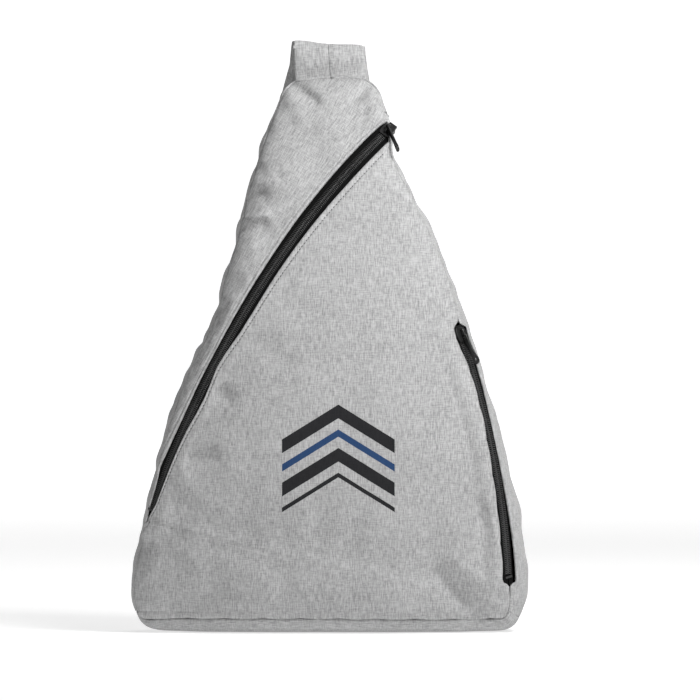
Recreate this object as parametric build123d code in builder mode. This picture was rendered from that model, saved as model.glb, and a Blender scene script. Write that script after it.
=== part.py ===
"""Sling bag: a padded single-strap body bag, built as separate sewn panels, two zip
fasteners, a padded strap and a side-release buckle.

Frame: millimetres, +Z up, the front faces -Y and +X is to the right as the front is
seen.  The origin is the centre of the flat underside.

The front is part of a large sphere.  A plane cuts a sphere in a true circle, so the
diagonal zip is an exact arc and its slider turns about the centre of that arc.
"""

import os
from math import atan2, cos, degrees, radians, sin, sqrt

from build123d import *

# ---------------------------------------------------------------- driving dimensions
BAG_HEIGHT = 426.0
BASE_HALF_WIDTH = 152.0
TOP_HALF_WIDTH = 35.0
BASE_CORNER = 26.0
TOP_CORNER = 14.0
SIDE_POINTS = [(144.5, 75.0), (131.0, 140.0), (92.0, 257.0), (53.0, 365.0)]
BACK_Y = 58.0
FRONT_ROOM = -110.0
WALL = 2.5
GAP = 0.05

# Front dome.
DOME_RADIUS = 430.0
DOME_CENTRE = Vector(0, 365, 150)
FRONT_EDGE = 14.0
BACK_EDGE = 6.0

# Seams.
FRONT_SEAM_INSET = 7.0
SEAM_BACK = 45.0
BASE_STRIP = 12.0
SEAM_GAP = 0.1

# Inner pieces of the back, from the back panel inwards.
PAD_INSET = 14.0
PAD_THICK = 8.0
PAD_GAP = 0.2
LINING_INSET = 11.0
LINING_THICK = 0.9
BINDING_INSET = (WALL + 0.3, WALL + 6)
BINDING_DEPTH = (4.0, 7.5)

# Zips: three points of each line from the closed end down, then slot, tape and coil,
# all measured from the outer face of the fabric.  The side zip's points also give how far
# round the rolled edge they lie, in degrees.
MAIN_ZIP = ((43.4, 387.7), (-43.1, 283.8), (-138.0, 93.7))
SIDE_ZIP = ((87.5, 65, 229.0), (118.3, 30, 135.0), (134.5, 10, 42.0))
SIDE_ZIP_OUTWARD = Vector(0.64, -0.77, 0)
SLOT_HALF = 6.5
TAPE_REACH = 13.0
TAPE_THICK = 0.7
TAPE_TOP = -(WALL + 0.15)
COIL_IN = 0.7
COIL_OUT = 3.0
COIL_THICK = 1.9
TAPE_IN = 0.7
STOP_LENGTH = 1.8
STOP_LIP = 0.3
END_ROOM = 9.5
SLOT_DEPTH = 12.0

# Slider and puller, the same moulding on both zips.
SLIDER_LENGTH = 11.0
SLIDER_WIDTH = 9.2
PLATE = 1.1
PLATE_CORNER = 2.4
POST = (3.2, 1.0)
LIP_LENGTH = 6.4
LIP_THICK = 0.9
LIP_HEIGHT = 1.6
LIP_LEVEL = -1.1
SLIDER_ROOM = 0.35
BRIDGE_HALF_LENGTH = 4.0
BRIDGE_CORNER = 1.1
BRIDGE_WIDTH = 1.8
BRIDGE_BAR = 1.2
BRIDGE_OPENING = 2.4
PULLER_LENGTH = 23.0
PULLER_THICK = 1.5
PULLER_WAIST = 0.6
PULLER_EDGE = 0.35
EYE_OUTER = 2.9
EYE_HOLE = 1.75
PLATE_TOP = 0.65
MAIN_PULLER_TWIST = 30.0
SIDE_PULLER_LIFT = 12.0

# Strap, in the slanting plane that runs from the top seam to the lower left corner.
STRAP_TOP = Vector(-2, 0, 446)
STRAP_FOOT = Vector(-116, 0, 34)
COVER_HALF_WIDTH = 28.5
COVER_THICK = 9.0
COVER_WALL = 1.5
WEB_HALF_WIDTH = 15.0
WEB_THICK = 1.6
ARC_START = (0.0, 52.0)
ARC_END = (300.0, 101.5)
LINE_SLOPE = 19.0
COVER_END = 84.0
RISER = 19.6
ANCHOR_END = 126.0

# Buckle, measured along the straight end of the strap.
BAR_RADIUS = 2.0
PLUG_BAR = 20.0
PLUG_FACE = 46.0
PRONG = 24.0
BUCKLE_WIDTH = 40.0
PLUG_THICK = 8.0
PRONG_THICK = 4.2
PRONG_CENTRE = 11.5
SOCKET_LENGTH = 38.0
SOCKET_THICK = 11.0
CAVITY = (28.0, 34.0, 6.0)
SIDE_ARM = (4.2, 5.0)
SOCKET_BAR = 94.0
PATCH_SIZE = (24.0, 38.0, 1.2)

# Side pocket pouch, inside behind the side zip.
POCKET_CENTRE = (50.0, -34.0, 130.0)
POCKET_SIZE = (88.0, 9.0, 130.0)


# ---------------------------------------------------------------- shared shapes
def side_points(inset):
    """Right-hand edge of the front view from bottom to top, moved in by inset."""
    edge = [(BASE_HALF_WIDTH, 0)] + SIDE_POINTS + [(TOP_HALF_WIDTH, BAG_HEIGHT)]
    low_lean = (edge[0][0] - edge[1][0]) / edge[1][1]
    top_lean = (edge[-2][0] - edge[-1][0]) / (edge[-1][1] - edge[-2][1])
    mean_lean = (BASE_HALF_WIDTH - TOP_HALF_WIDTH) / BAG_HEIGHT
    points = [(edge[0][0] - inset * (low_lean + sqrt(1 + low_lean**2)), inset)]
    points += [(x - inset * sqrt(1 + mean_lean**2), z) for x, z in SIDE_POINTS]
    top_x = edge[-1][0] + inset * (top_lean - sqrt(1 + top_lean**2))
    return points + [(top_x, BAG_HEIGHT - inset)]


def above(height):
    """Everything over a level."""
    with BuildPart() as block:
        with Locations((0, 0, height + 250)):
            Box(500, 400, 500)
    return block.part


def prism(inset, y_front, y_back):
    """The front view of the bag, drawn in by inset and pulled out between two depths."""
    right = side_points(inset)
    left = [(-x, z) for x, z in reversed(right)]
    with BuildPart() as block:
        with BuildSketch(Plane.XZ.offset(-y_back)) as face:
            with BuildLine():
                Line(left[-1], right[0])
                Spline(*right)
                Line(right[-1], left[0])
                Spline(*left)
            make_face()
            base_corner = max(BASE_CORNER - inset, 8)
            top_corner = max(TOP_CORNER - inset, 3)
            fillet(face.vertices().sort_by(Axis.Y)[:2], base_corner)
            fillet(face.vertices().sort_by(Axis.Y)[-2:], top_corner)
        extrude(amount=y_back - y_front)
    return block.part


def body(inset):
    """The closed outer form of the bag, drawn in all round by inset."""
    with BuildPart() as form:
        add(prism(inset, FRONT_ROOM, BACK_Y - inset))
        with Locations(DOME_CENTRE):
            Sphere(DOME_RADIUS - inset, mode=Mode.INTERSECT)
        back = form.faces().sort_by(Axis.Y)[-1]
        fillet(back.edges(), BACK_EDGE - inset)
        dome = form.faces().filter_by(GeomType.SPHERE)
        fillet(dome.edges(), FRONT_EDGE - inset)
    return form.part


class ZipArc:
    """A zip's centre line: the circle through three points, counted from its closed end."""

    def __init__(self, first, middle, last, outward):
        u = middle - first
        v = last - first
        self.axis = u.cross(v).normalized()
        uu = u.dot(u)
        vv = v.dot(v)
        uv = u.dot(v)
        scale = 2 * (uu * vv - uv * uv)
        self.centre = first + u * (vv * (uu - uv) / scale) + v * (uu * (vv - uv) / scale)
        arm = first - self.centre
        self.radius = arm.length
        self.start = arm.normalized()
        self.side = self.axis.cross(self.start)
        end = last - self.centre
        self.sweep = degrees(atan2(end.dot(self.side), end.dot(self.start)))
        mid = self.arm(self.sweep / 2)
        self.tilt = degrees(atan2(outward.dot(self.axis), outward.dot(mid)))

    def arm(self, angle):
        turn = radians(angle)
        return self.start * cos(turn) + self.side * sin(turn)

    def section_plane(self, angle):
        arm = self.arm(angle)
        return Plane(self.centre, x_dir=arm, z_dir=arm.cross(self.axis))

    def seat(self, angle):
        """Plane on the fabric at an angle: x along the zip, z outward."""
        arm = self.arm(angle)
        outward = arm * cos(radians(self.tilt)) + self.axis * sin(radians(self.tilt))
        return Plane(
            self.centre + arm * self.radius, x_dir=self.axis.cross(arm), z_dir=outward
        )

    def strip(self, start, stop, across, depth):
        """A strip swept along the arc: across and depth are (low, high) pairs."""
        turn = radians(self.tilt)
        high = (depth[0] + depth[1]) / 2
        wide = (across[0] + across[1]) / 2
        spot = (
            self.radius + high * cos(turn) - wide * sin(turn),
            high * sin(turn) + wide * cos(turn),
        )
        with BuildPart() as band:
            with BuildSketch(self.section_plane(start)):
                with Locations(spot):
                    Rectangle(depth[1] - depth[0], across[1] - across[0], rotation=self.tilt)
            revolve(axis=Axis(self.centre, self.axis), revolution_arc=stop - start)
        return band.part

    def angle_of(self, length):
        return degrees(length / self.radius)

    def slot(self):
        """Opening cut in the fabric for the coil, a little longer than the zip."""
        low = -self.angle_of(END_ROOM)
        high = self.sweep + self.angle_of(END_ROOM)
        return self.strip(low, high, (-SLOT_HALF, SLOT_HALF), (-SLOT_DEPTH, SLOT_DEPTH))

    def tape(self, side):
        """One tape, on the -1 or the +1 side of the centre line."""
        low = -self.angle_of(END_ROOM - 1)
        high = self.sweep + self.angle_of(END_ROOM - 1)
        across = sorted((side * TAPE_IN, side * TAPE_REACH))
        return self.strip(low, high, across, (TAPE_TOP - TAPE_THICK, TAPE_TOP))

    def coil(self, side):
        low = -self.angle_of(SLIDER_LENGTH / 2 + 0.5)
        high = self.sweep - self.angle_of(STOP_LENGTH + 1)
        across = sorted((side * COIL_IN, side * COIL_OUT))
        return self.strip(low, high, across, (TAPE_TOP + GAP, TAPE_TOP + GAP + COIL_THICK))

    def stop(self, angle):
        """Metal clip across both coils at one end."""
        low = TAPE_TOP + GAP
        half = self.angle_of(STOP_LENGTH / 2)
        across = (-COIL_OUT - STOP_LIP, COIL_OUT + STOP_LIP)
        depth = (low, low + COIL_THICK + STOP_LIP)
        return self.strip(angle - half, angle + half, across, depth)

    def top_stop(self):
        return self.stop(-self.angle_of(SLIDER_LENGTH / 2 + 0.7 + STOP_LENGTH / 2))

    def bottom_stop(self):
        return self.stop(self.sweep - self.angle_of(STOP_LENGTH / 2))


def on_dome(x, z):
    """Point of the front dome at a place in the front view."""
    depth = sqrt(DOME_RADIUS**2 - x * x - (z - DOME_CENTRE.Z) ** 2)
    return Vector(x, DOME_CENTRE.Y - depth, z)


def on_edge(start, roll, z):
    """Point on the rolled front edge: where the roll starts, how far round, and height."""
    turn = radians(roll)
    shift = Vector(FRONT_EDGE * sin(turn), FRONT_EDGE * (1 - cos(turn)), 0)
    return on_dome(start, z) + shift


def zip_slider(seat):
    """Slider: two plates joined by a post between the coils, side lips and a bridge."""
    top = PLATE_TOP - PLATE / 2
    below = TAPE_TOP - TAPE_THICK - 0.25 - PLATE / 2
    with BuildPart(seat) as slider:
        with Locations((0, 0, top), (0, 0, below)):
            Box(SLIDER_LENGTH, SLIDER_WIDTH, PLATE)
        ends = slider.edges().filter_by(Axis(seat.origin, seat.z_dir))
        fillet(ends, PLATE_CORNER)
        with Locations((0, 0, (top + below) / 2)):
            Box(*POST, top - below)
        lip = COIL_OUT + SLIDER_ROOM + LIP_THICK / 2
        with Locations((0, lip, LIP_LEVEL), (0, -lip, LIP_LEVEL)):
            Box(LIP_LENGTH, LIP_THICK, LIP_HEIGHT)
        high = BRIDGE_OPENING + BRIDGE_BAR
        with Locations((0, 0, PLATE_TOP + high / 2)):
            Box(2 * BRIDGE_HALF_LENGTH, BRIDGE_WIDTH, high)
        corners = slider.edges().filter_by(Axis(seat.origin, seat.y_dir))
        corners = corners.sort_by(Axis(seat.origin, seat.z_dir))[-2:]
        fillet(corners, BRIDGE_CORNER)
        with Locations((0, 0, PLATE_TOP + BRIDGE_OPENING / 2)):
            Box(
                2 * (BRIDGE_HALF_LENGTH - BRIDGE_BAR),
                SLIDER_WIDTH,
                BRIDGE_OPENING,
                mode=Mode.SUBTRACT,
            )
    return slider.part


def zip_puller(plane):
    """Flat puller: the eye is at the plane's origin and the tab runs along its x."""
    with BuildPart() as puller:
        with BuildSketch(plane):
            Circle(EYE_OUTER)
            with BuildLine():
                Polyline(
                    (0, -EYE_OUTER),
                    (PULLER_LENGTH - 5, -EYE_OUTER + PULLER_WAIST),
                    (PULLER_LENGTH - 1.5, -EYE_OUTER),
                    (PULLER_LENGTH, 0),
                    (PULLER_LENGTH - 1.5, EYE_OUTER),
                    (PULLER_LENGTH - 5, EYE_OUTER - PULLER_WAIST),
                    (0, EYE_OUTER),
                    close=True,
                )
            make_face()
            Circle(EYE_HOLE, mode=Mode.SUBTRACT)
        extrude(amount=PULLER_THICK / 2, both=True)
        fillet(puller.edges().filter_by(GeomType.LINE), PULLER_EDGE)
    return puller.part


def save(part, name):
    part.label = name
    export_step(part, f"parts/{name}.step")


# ---------------------------------------------------------------- zip lines
main_points = [on_dome(*place) for place in MAIN_ZIP]
main_arc = ZipArc(*main_points, main_points[1] - DOME_CENTRE)
side_arc = ZipArc(*[on_edge(*place) for place in SIDE_ZIP], SIDE_ZIP_OUTWARD)

# ---------------------------------------------------------------- panels
os.makedirs("parts", exist_ok=True)

outer = body(0)
inner = body(WALL)
front_block = prism(FRONT_SEAM_INSET, FRONT_ROOM, SEAM_BACK)
seam_block = prism(FRONT_SEAM_INSET - SEAM_GAP, FRONT_ROOM, SEAM_BACK + SEAM_GAP)
main_slot = main_arc.slot()
side_slot = side_arc.slot()
zip_plane = Plane(main_arc.centre, z_dir=main_arc.axis)


with BuildPart() as shell:
    add(outer)
    add(inner, mode=Mode.SUBTRACT)
    with Locations((0, BACK_Y - WALL / 2, BAG_HEIGHT / 2)):
        Box(400, WALL + 2 * GAP, 500, mode=Mode.SUBTRACT)
    add(main_slot, mode=Mode.SUBTRACT)
    add(side_slot, mode=Mode.SUBTRACT)

with BuildPart() as front_lower_panel:
    add(shell.part)
    add(front_block, mode=Mode.INTERSECT)
    add(above(BASE_STRIP + SEAM_GAP), mode=Mode.INTERSECT)
    split(bisect_by=zip_plane, keep=Keep.TOP)
save(front_lower_panel.part, "front_lower_panel")

with BuildPart() as front_upper_panel:
    add(shell.part)
    add(front_block, mode=Mode.INTERSECT)
    split(bisect_by=zip_plane, keep=Keep.BOTTOM)
save(front_upper_panel.part, "front_upper_panel")

with BuildPart() as rim:
    add(shell.part)
    add(seam_block, mode=Mode.SUBTRACT)

with BuildPart() as base_panel:
    add(rim.part)
    add(above(BASE_STRIP), mode=Mode.SUBTRACT)
save(base_panel.part, "base_panel")

with BuildPart() as sides:
    add(rim.part)
    add(above(BASE_STRIP + SEAM_GAP), mode=Mode.INTERSECT)

with BuildPart() as left_gusset:
    add(sides.part)
    split(bisect_by=Plane.YZ.offset(-SEAM_GAP), keep=Keep.BOTTOM)
save(left_gusset.part, "left_gusset")

with BuildPart() as right_gusset:
    add(sides.part)
    split(bisect_by=Plane.YZ, keep=Keep.TOP)
save(right_gusset.part, "right_gusset")

with BuildPart() as back_panel:
    add(prism(0, BACK_Y - WALL, BACK_Y))
    add(outer, mode=Mode.INTERSECT)
save(back_panel.part, "back_panel")


# ---------------------------------------------------------------- inside the bag
inner_face = BACK_Y - WALL
pad_face = inner_face - PAD_GAP - PAD_THICK
save(prism(PAD_INSET, pad_face, inner_face - PAD_GAP), "back_padding")
lining_face = pad_face - PAD_GAP
save(prism(LINING_INSET, lining_face - LINING_THICK, lining_face), "back_lining")

binding_back = inner_face - BINDING_DEPTH[0]
binding_front = inner_face - BINDING_DEPTH[1]
with BuildPart() as back_seam_binding:
    add(prism(BINDING_INSET[0], binding_front, binding_back))
    add(prism(BINDING_INSET[1], binding_front, binding_back), mode=Mode.SUBTRACT)
save(back_seam_binding.part, "back_seam_binding")

with BuildPart() as side_pocket:
    with Locations(POCKET_CENTRE):
        Box(*POCKET_SIZE)
        with Locations((1, 0, 0)):
            Box(
                POCKET_SIZE[0],
                POCKET_SIZE[1] - 2,
                POCKET_SIZE[2] - 2,
                mode=Mode.SUBTRACT,
            )
save(side_pocket.part, "side_pocket")

# ---------------------------------------------------------------- zips
tuck = body(WALL + 0.1)


def tucked(strip):
    """A tape end goes inside the rolled edge of the bag."""
    with BuildPart() as piece:
        add(strip)
        add(tuck, mode=Mode.INTERSECT)
    return piece.part


save(tucked(main_arc.tape(-1)), "main_zip_tape_upper")
save(tucked(main_arc.tape(1)), "main_zip_tape_lower")
save(main_arc.coil(-1), "main_zip_coil_upper")
save(main_arc.coil(1), "main_zip_coil_lower")
save(main_arc.top_stop(), "main_zip_top_stop")
save(main_arc.bottom_stop(), "main_zip_bottom_stop")
save(zip_slider(main_arc.seat(0)), "main_zip_slider")

save(tucked(side_arc.tape(-1)), "side_zip_tape_front")
save(tucked(side_arc.tape(1)), "side_zip_tape_rear")
save(side_arc.coil(-1), "side_zip_coil_front")
save(side_arc.coil(1), "side_zip_coil_rear")
save(side_arc.top_stop(), "side_zip_top_stop")
save(side_arc.bottom_stop(), "side_zip_bottom_stop")
save(zip_slider(side_arc.seat(0)), "side_zip_slider")

# The main puller hangs sideways off the bridge, edge-on to the front.
seat = main_arc.seat(0)
twist = radians(MAIN_PULLER_TWIST)
down = seat.x_dir * sin(twist) + seat.y_dir * cos(twist)
swing = seat.x_dir * cos(twist) - seat.y_dir * sin(twist)
main_eye = seat.origin + seat.z_dir * (PLATE_TOP + BRIDGE_OPENING + BRIDGE_BAR / 2)
save(zip_puller(Plane(main_eye, x_dir=down, z_dir=swing)), "main_zip_puller")

# The side puller lies along its zip, lifted a little off the fabric.
seat = side_arc.seat(0)
lift = radians(SIDE_PULLER_LIFT)
along = seat.x_dir * cos(lift) + seat.z_dir * sin(lift)
lean = seat.z_dir * cos(lift) - seat.x_dir * sin(lift)
side_eye = seat.origin + seat.x_dir * (BRIDGE_HALF_LENGTH - 0.6)
side_eye += seat.z_dir * (PLATE_TOP + BRIDGE_OPENING / 2 + 0.4)
save(zip_puller(Plane(side_eye, x_dir=along, z_dir=lean)), "side_zip_puller")
side_rim = side_eye - along * (EYE_OUTER + EYE_HOLE) / 2

with BuildPart() as side_zip_end_tab:
    with BuildPart(side_arc.seat(side_arc.sweep + side_arc.angle_of(END_ROOM + 6))):
        Box(10, 2 * SLOT_HALF + 3, 16)
    add(body(-1.3), mode=Mode.INTERSECT)
    add(body(-0.2), mode=Mode.SUBTRACT)
save(side_zip_end_tab.part, "side_zip_end_tab")

# ---------------------------------------------------------------- strap
along_strap = (STRAP_FOOT - STRAP_TOP).normalized()
strap_plane = Plane(STRAP_TOP, x_dir=along_strap, z_dir=along_strap.cross(Vector(0, 1, 0)))
chord = Vector(*ARC_END) - Vector(*ARC_START)
bow = radians(LINE_SLOPE) + atan2(chord.Y, chord.X)
ARC_RADIUS = chord.length / (2 * sin(bow))
arc_centre = (
    ARC_END[0] - ARC_RADIUS * sin(radians(LINE_SLOPE)),
    ARC_END[1] - ARC_RADIUS * cos(radians(LINE_SLOPE)),
)
ARC_FIRST = 90 - LINE_SLOPE + degrees(2 * bow)
ARC_LAST = 90 - LINE_SLOPE


def strap_band(first, last, low, high, half_width):
    """Part of the bowed strap: angles on its arc, depth about the centre, half width."""
    with BuildPart() as band:
        with BuildSketch(strap_plane):
            with BuildLine():
                inside = CenterArc(arc_centre, ARC_RADIUS + low, last, first - last)
                outside = CenterArc(arc_centre, ARC_RADIUS + high, last, first - last)
                Line(inside @ 0, outside @ 0)
                Line(inside @ 1, outside @ 1)
            make_face()
        extrude(amount=half_width, both=True)
    return band.part


half = COVER_THICK / 2
with BuildPart() as strap_cover:
    add(strap_band(ARC_FIRST, COVER_END, -half, half, COVER_HALF_WIDTH))
    fillet(strap_cover.edges().filter_by(GeomType.CIRCLE), 2.2)
    with Locations(STRAP_TOP + Vector(0, ARC_START[1], 0)):
        Cylinder(half, 2 * COVER_HALF_WIDTH, rotation=(0, 90, 0))
        with Locations((0, -1.5, -RISER / 2)):
            Box(2 * COVER_HALF_WIDTH, 5, RISER)
    add(
        strap_band(
            ARC_FIRST - 2,
            COVER_END + 1,
            -half + COVER_WALL,
            half - COVER_WALL,
            COVER_HALF_WIDTH - 3,
        ),
        mode=Mode.SUBTRACT,
    )
save(strap_cover.part, "strap_cover")

strap_foam = strap_band(
    ARC_FIRST - 2.1,
    COVER_END + 1.1,
    -half + COVER_WALL + 0.1,
    half - COVER_WALL - 0.1,
    COVER_HALF_WIDTH - 3.1,
)
save(strap_foam, "strap_foam")

# The buckle frame: x runs down the strap from the end of the arc, z faces outward.
slope = radians(LINE_SLOPE)
line_dir = along_strap * cos(slope) - Vector(0, sin(slope), 0)
line_out = along_strap * sin(slope) + Vector(0, cos(slope), 0)
line_start = STRAP_TOP + along_strap * ARC_END[0] + Vector(0, ARC_END[1], 0)
buckle_plane = Plane(line_start, x_dir=line_dir, z_dir=line_out)
loop_plane = Plane(line_start, x_dir=line_dir, z_dir=line_out.cross(line_dir) * -1)
WEB_LOW = BAR_RADIUS + 0.15
WEB_HIGH = WEB_LOW + WEB_THICK


def webbing_loop(bar, tail):
    """Webbing turned round a bar, with a tail from above the bar to another place."""
    with BuildPart() as loop:
        with BuildSketch(loop_plane):
            with Locations((bar, 0)):
                Circle(WEB_HIGH)
            with BuildLine():
                Polyline(
                    (bar, WEB_LOW),
                    (tail, WEB_LOW),
                    (tail, WEB_HIGH),
                    (bar, WEB_HIGH),
                    close=True,
                )
            make_face()
            with Locations((bar, 0)):
                Circle(WEB_LOW, mode=Mode.SUBTRACT)
        extrude(amount=WEB_HALF_WIDTH, both=True)
    return loop.part


with BuildPart() as strap_webbing:
    add(webbing_loop(PLUG_BAR, 0))
    add(strap_band(COVER_END - 0.02, ARC_LAST, WEB_LOW, WEB_HIGH, WEB_HALF_WIDTH))
save(strap_webbing.part, "strap_webbing")

save(webbing_loop(SOCKET_BAR, ANCHOR_END), "strap_anchor_tab")

anchor = line_start + line_dir * (ANCHOR_END - 8)
with BuildPart(
    Plane(Vector(anchor.X, BACK_Y + 0.8, anchor.Z), x_dir=along_strap, z_dir=(0, 1, 0))
) as strap_anchor_patch:
    Box(*PATCH_SIZE)
save(strap_anchor_patch.part, "strap_anchor_patch")

with BuildPart(buckle_plane) as buckle_plug:
    with Locations(((PLUG_BAR + PLUG_FACE) / 2 + 5, 0, 0)):
        Box(PLUG_FACE - PLUG_BAR - 10, BUCKLE_WIDTH, PLUG_THICK)
    fillet(buckle_plug.edges(), 1.5)
    arm = PLUG_FACE - PLUG_BAR - 8
    for side in (-1, 1):
        with Locations((PLUG_BAR + arm / 2, side * (BUCKLE_WIDTH / 2 - 2.2), 0)):
            Box(arm, *SIDE_ARM)
        with Locations((PLUG_FACE + PRONG / 2 - 1, side * PRONG_CENTRE, 0)):
            Box(PRONG + 2, PRONG_THICK, PRONG_THICK)
        with Locations((PLUG_FACE + PRONG - 6, side * (PRONG_CENTRE + 2.9), 0)):
            Box(9, 3.6, PRONG_THICK)
    with Locations((PLUG_FACE + PRONG / 3, 0, 0)):
        Box(PRONG * 2 / 3, 6, 3.6)
    with Locations(Location((PLUG_BAR, 0, 0), (90, 0, 0))):
        Cylinder(BAR_RADIUS, BUCKLE_WIDTH - 2)
save(buckle_plug.part, "buckle_plug")

with BuildPart(buckle_plane) as buckle_socket:
    with Locations((PLUG_FACE + 0.3 + SOCKET_LENGTH / 2, 0, 0)):
        Box(SOCKET_LENGTH, BUCKLE_WIDTH, SOCKET_THICK)
    fillet(buckle_socket.edges(), 2)
    with Locations((PLUG_FACE + CAVITY[0] / 2, 0, 0)):
        Box(*CAVITY, mode=Mode.SUBTRACT)
    with Locations((PLUG_FACE + PRONG - 6, 0, 0)):
        Box(12, BUCKLE_WIDTH + 2, 5.4, mode=Mode.SUBTRACT)
    arm = SOCKET_BAR - PLUG_FACE - SOCKET_LENGTH + 3
    for side in (-1, 1):
        with Locations((SOCKET_BAR - arm / 2, side * (BUCKLE_WIDTH / 2 - 2.2), 0)):
            Box(arm, *SIDE_ARM)
    with Locations(Location((SOCKET_BAR, 0, 0), (90, 0, 0))):
        Cylinder(BAR_RADIUS, BUCKLE_WIDTH - 2)
save(buckle_socket.part, "buckle_socket")


# ---------------------------------------------------------------- joint data, in metres
def show(name, point, direction):
    place = [round(v / 1000, 6) for v in point]
    print(name, place, [round(v, 6) for v in direction])


show("main_slider_travel", main_arc.centre, main_arc.axis)
print("radians", round(radians(main_arc.sweep - main_arc.angle_of(9.5)), 4))
show("main_puller_swing", main_eye, swing)
show("side_slider_travel", side_arc.centre, side_arc.axis)
print("radians", round(radians(side_arc.sweep - side_arc.angle_of(9.5)), 4))
show("side_puller_swing", side_rim, side_arc.seat(0).y_dir)
show("buckle_release", line_start + line_dir * PLUG_FACE, line_dir * -1)
show("strap hold", STRAP_TOP + Vector(0, ARC_START[1], 0), (0, 0, 1))
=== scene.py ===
"""Looks of the sling bag: sewn and padded fabric, zips, strap, buckle, camera and light.

Lengths are worked out in millimetres and written to the meshes in metres.  The frame is
the CAD part's: +Z up, the front faces -Y.
"""

from itertools import product
from math import atan2, cos, pi, radians, sin

import bmesh
import bpy
import numpy as np
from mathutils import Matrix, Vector


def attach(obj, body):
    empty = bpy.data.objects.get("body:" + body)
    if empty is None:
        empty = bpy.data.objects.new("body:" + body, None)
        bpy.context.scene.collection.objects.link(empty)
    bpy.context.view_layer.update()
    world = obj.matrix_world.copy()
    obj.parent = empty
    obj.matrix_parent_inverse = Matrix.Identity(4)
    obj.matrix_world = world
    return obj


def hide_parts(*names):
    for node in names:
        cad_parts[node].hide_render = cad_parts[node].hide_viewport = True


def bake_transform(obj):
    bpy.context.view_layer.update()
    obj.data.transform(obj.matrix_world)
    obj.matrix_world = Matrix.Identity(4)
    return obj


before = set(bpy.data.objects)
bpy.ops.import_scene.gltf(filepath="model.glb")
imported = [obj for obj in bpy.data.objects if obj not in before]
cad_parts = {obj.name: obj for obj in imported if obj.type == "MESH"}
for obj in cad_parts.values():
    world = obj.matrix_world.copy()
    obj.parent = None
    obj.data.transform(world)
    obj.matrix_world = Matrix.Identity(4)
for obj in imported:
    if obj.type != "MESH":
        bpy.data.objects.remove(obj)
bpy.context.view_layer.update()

# ---- front dome and zips
DOME_R = 430.0
DOME_C = np.array([0.0, 365.0, 150.0])
BACK_Y = 56.5  # where the walls meet the back panel
BACKWARD = np.array([0, 1.0, 0])
CAMERA_X, CAMERA_Z = 14.4, 217.4


def dome_y(x, z):
    return DOME_C[1] - np.sqrt(DOME_R**2 - x * x - (z - DOME_C[2]) ** 2)


def unit(v):
    return v / np.linalg.norm(v, axis=-1, keepdims=True)


def run_length(p):
    """Length along the rows of points."""
    step = np.linalg.norm(np.diff(p, axis=0), axis=-1)
    return np.concatenate([[0], np.cumsum(step)])


def along(run, points, want):
    """Rows at places along a line of points, of which run gives the length so far."""
    return np.stack([np.interp(want, run, points[:, k]) for k in range(points.shape[1])], 1)


def resample(p, count):
    run = run_length(p)
    return along(run, p, np.linspace(0, 1, count) * run[-1])


class Arc:
    """Zip centre line through three points, with the fabric's outward direction."""

    def __init__(self, p0, p1, p2, out):
        u, v = p1 - p0, p2 - p0
        self.axis = unit(np.cross(u, v))
        rows = np.array([u, v, self.axis])
        self.c = p0 + np.linalg.solve(rows, [u @ u / 2, v @ v / 2, 0])
        self.r = np.linalg.norm(p0 - self.c)
        self.e1 = (p0 - self.c) / self.r
        self.e2 = np.cross(self.axis, self.e1)
        w = p2 - self.c
        self.sweep = atan2(w @ self.e2, w @ self.e1)
        mid = self.arm(self.sweep / 2)
        self.tilt = atan2(out @ self.axis, out @ mid)
        self.length = self.sweep * self.r

    def arm(self, a):
        a = np.asarray(a)[..., None]
        return np.cos(a) * self.e1 + np.sin(a) * self.e2

    def at(self, s):
        """Point, tangent, across and outward at s mm from the closed end."""
        arm = self.arm(np.asarray(s) / self.r)
        out = cos(self.tilt) * arm + sin(self.tilt) * self.axis
        tan = np.cross(self.axis, arm)
        return self.c + self.r * arm, tan, np.cross(out, tan), out


def on_dome(x, z):
    return np.array([x, dome_y(x, z), z])


def on_edge(x, roll, z, r=14.0):
    t = radians(roll)
    return on_dome(x, z) + np.array([r * sin(t), r * (1 - cos(t)), 0])


main_arc = Arc(
    on_dome(43.4, 387.7),
    on_dome(-43.1, 283.8),
    on_dome(-138.0, 93.7),
    on_dome(-43.1, 283.8) - DOME_C,
)
side_arc = Arc(
    on_edge(87.5, 65, 229.0),
    on_edge(118.3, 30, 135.0),
    on_edge(134.5, 10, 42.0),
    np.array([0.64, -0.77, 0.0]),
)

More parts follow.
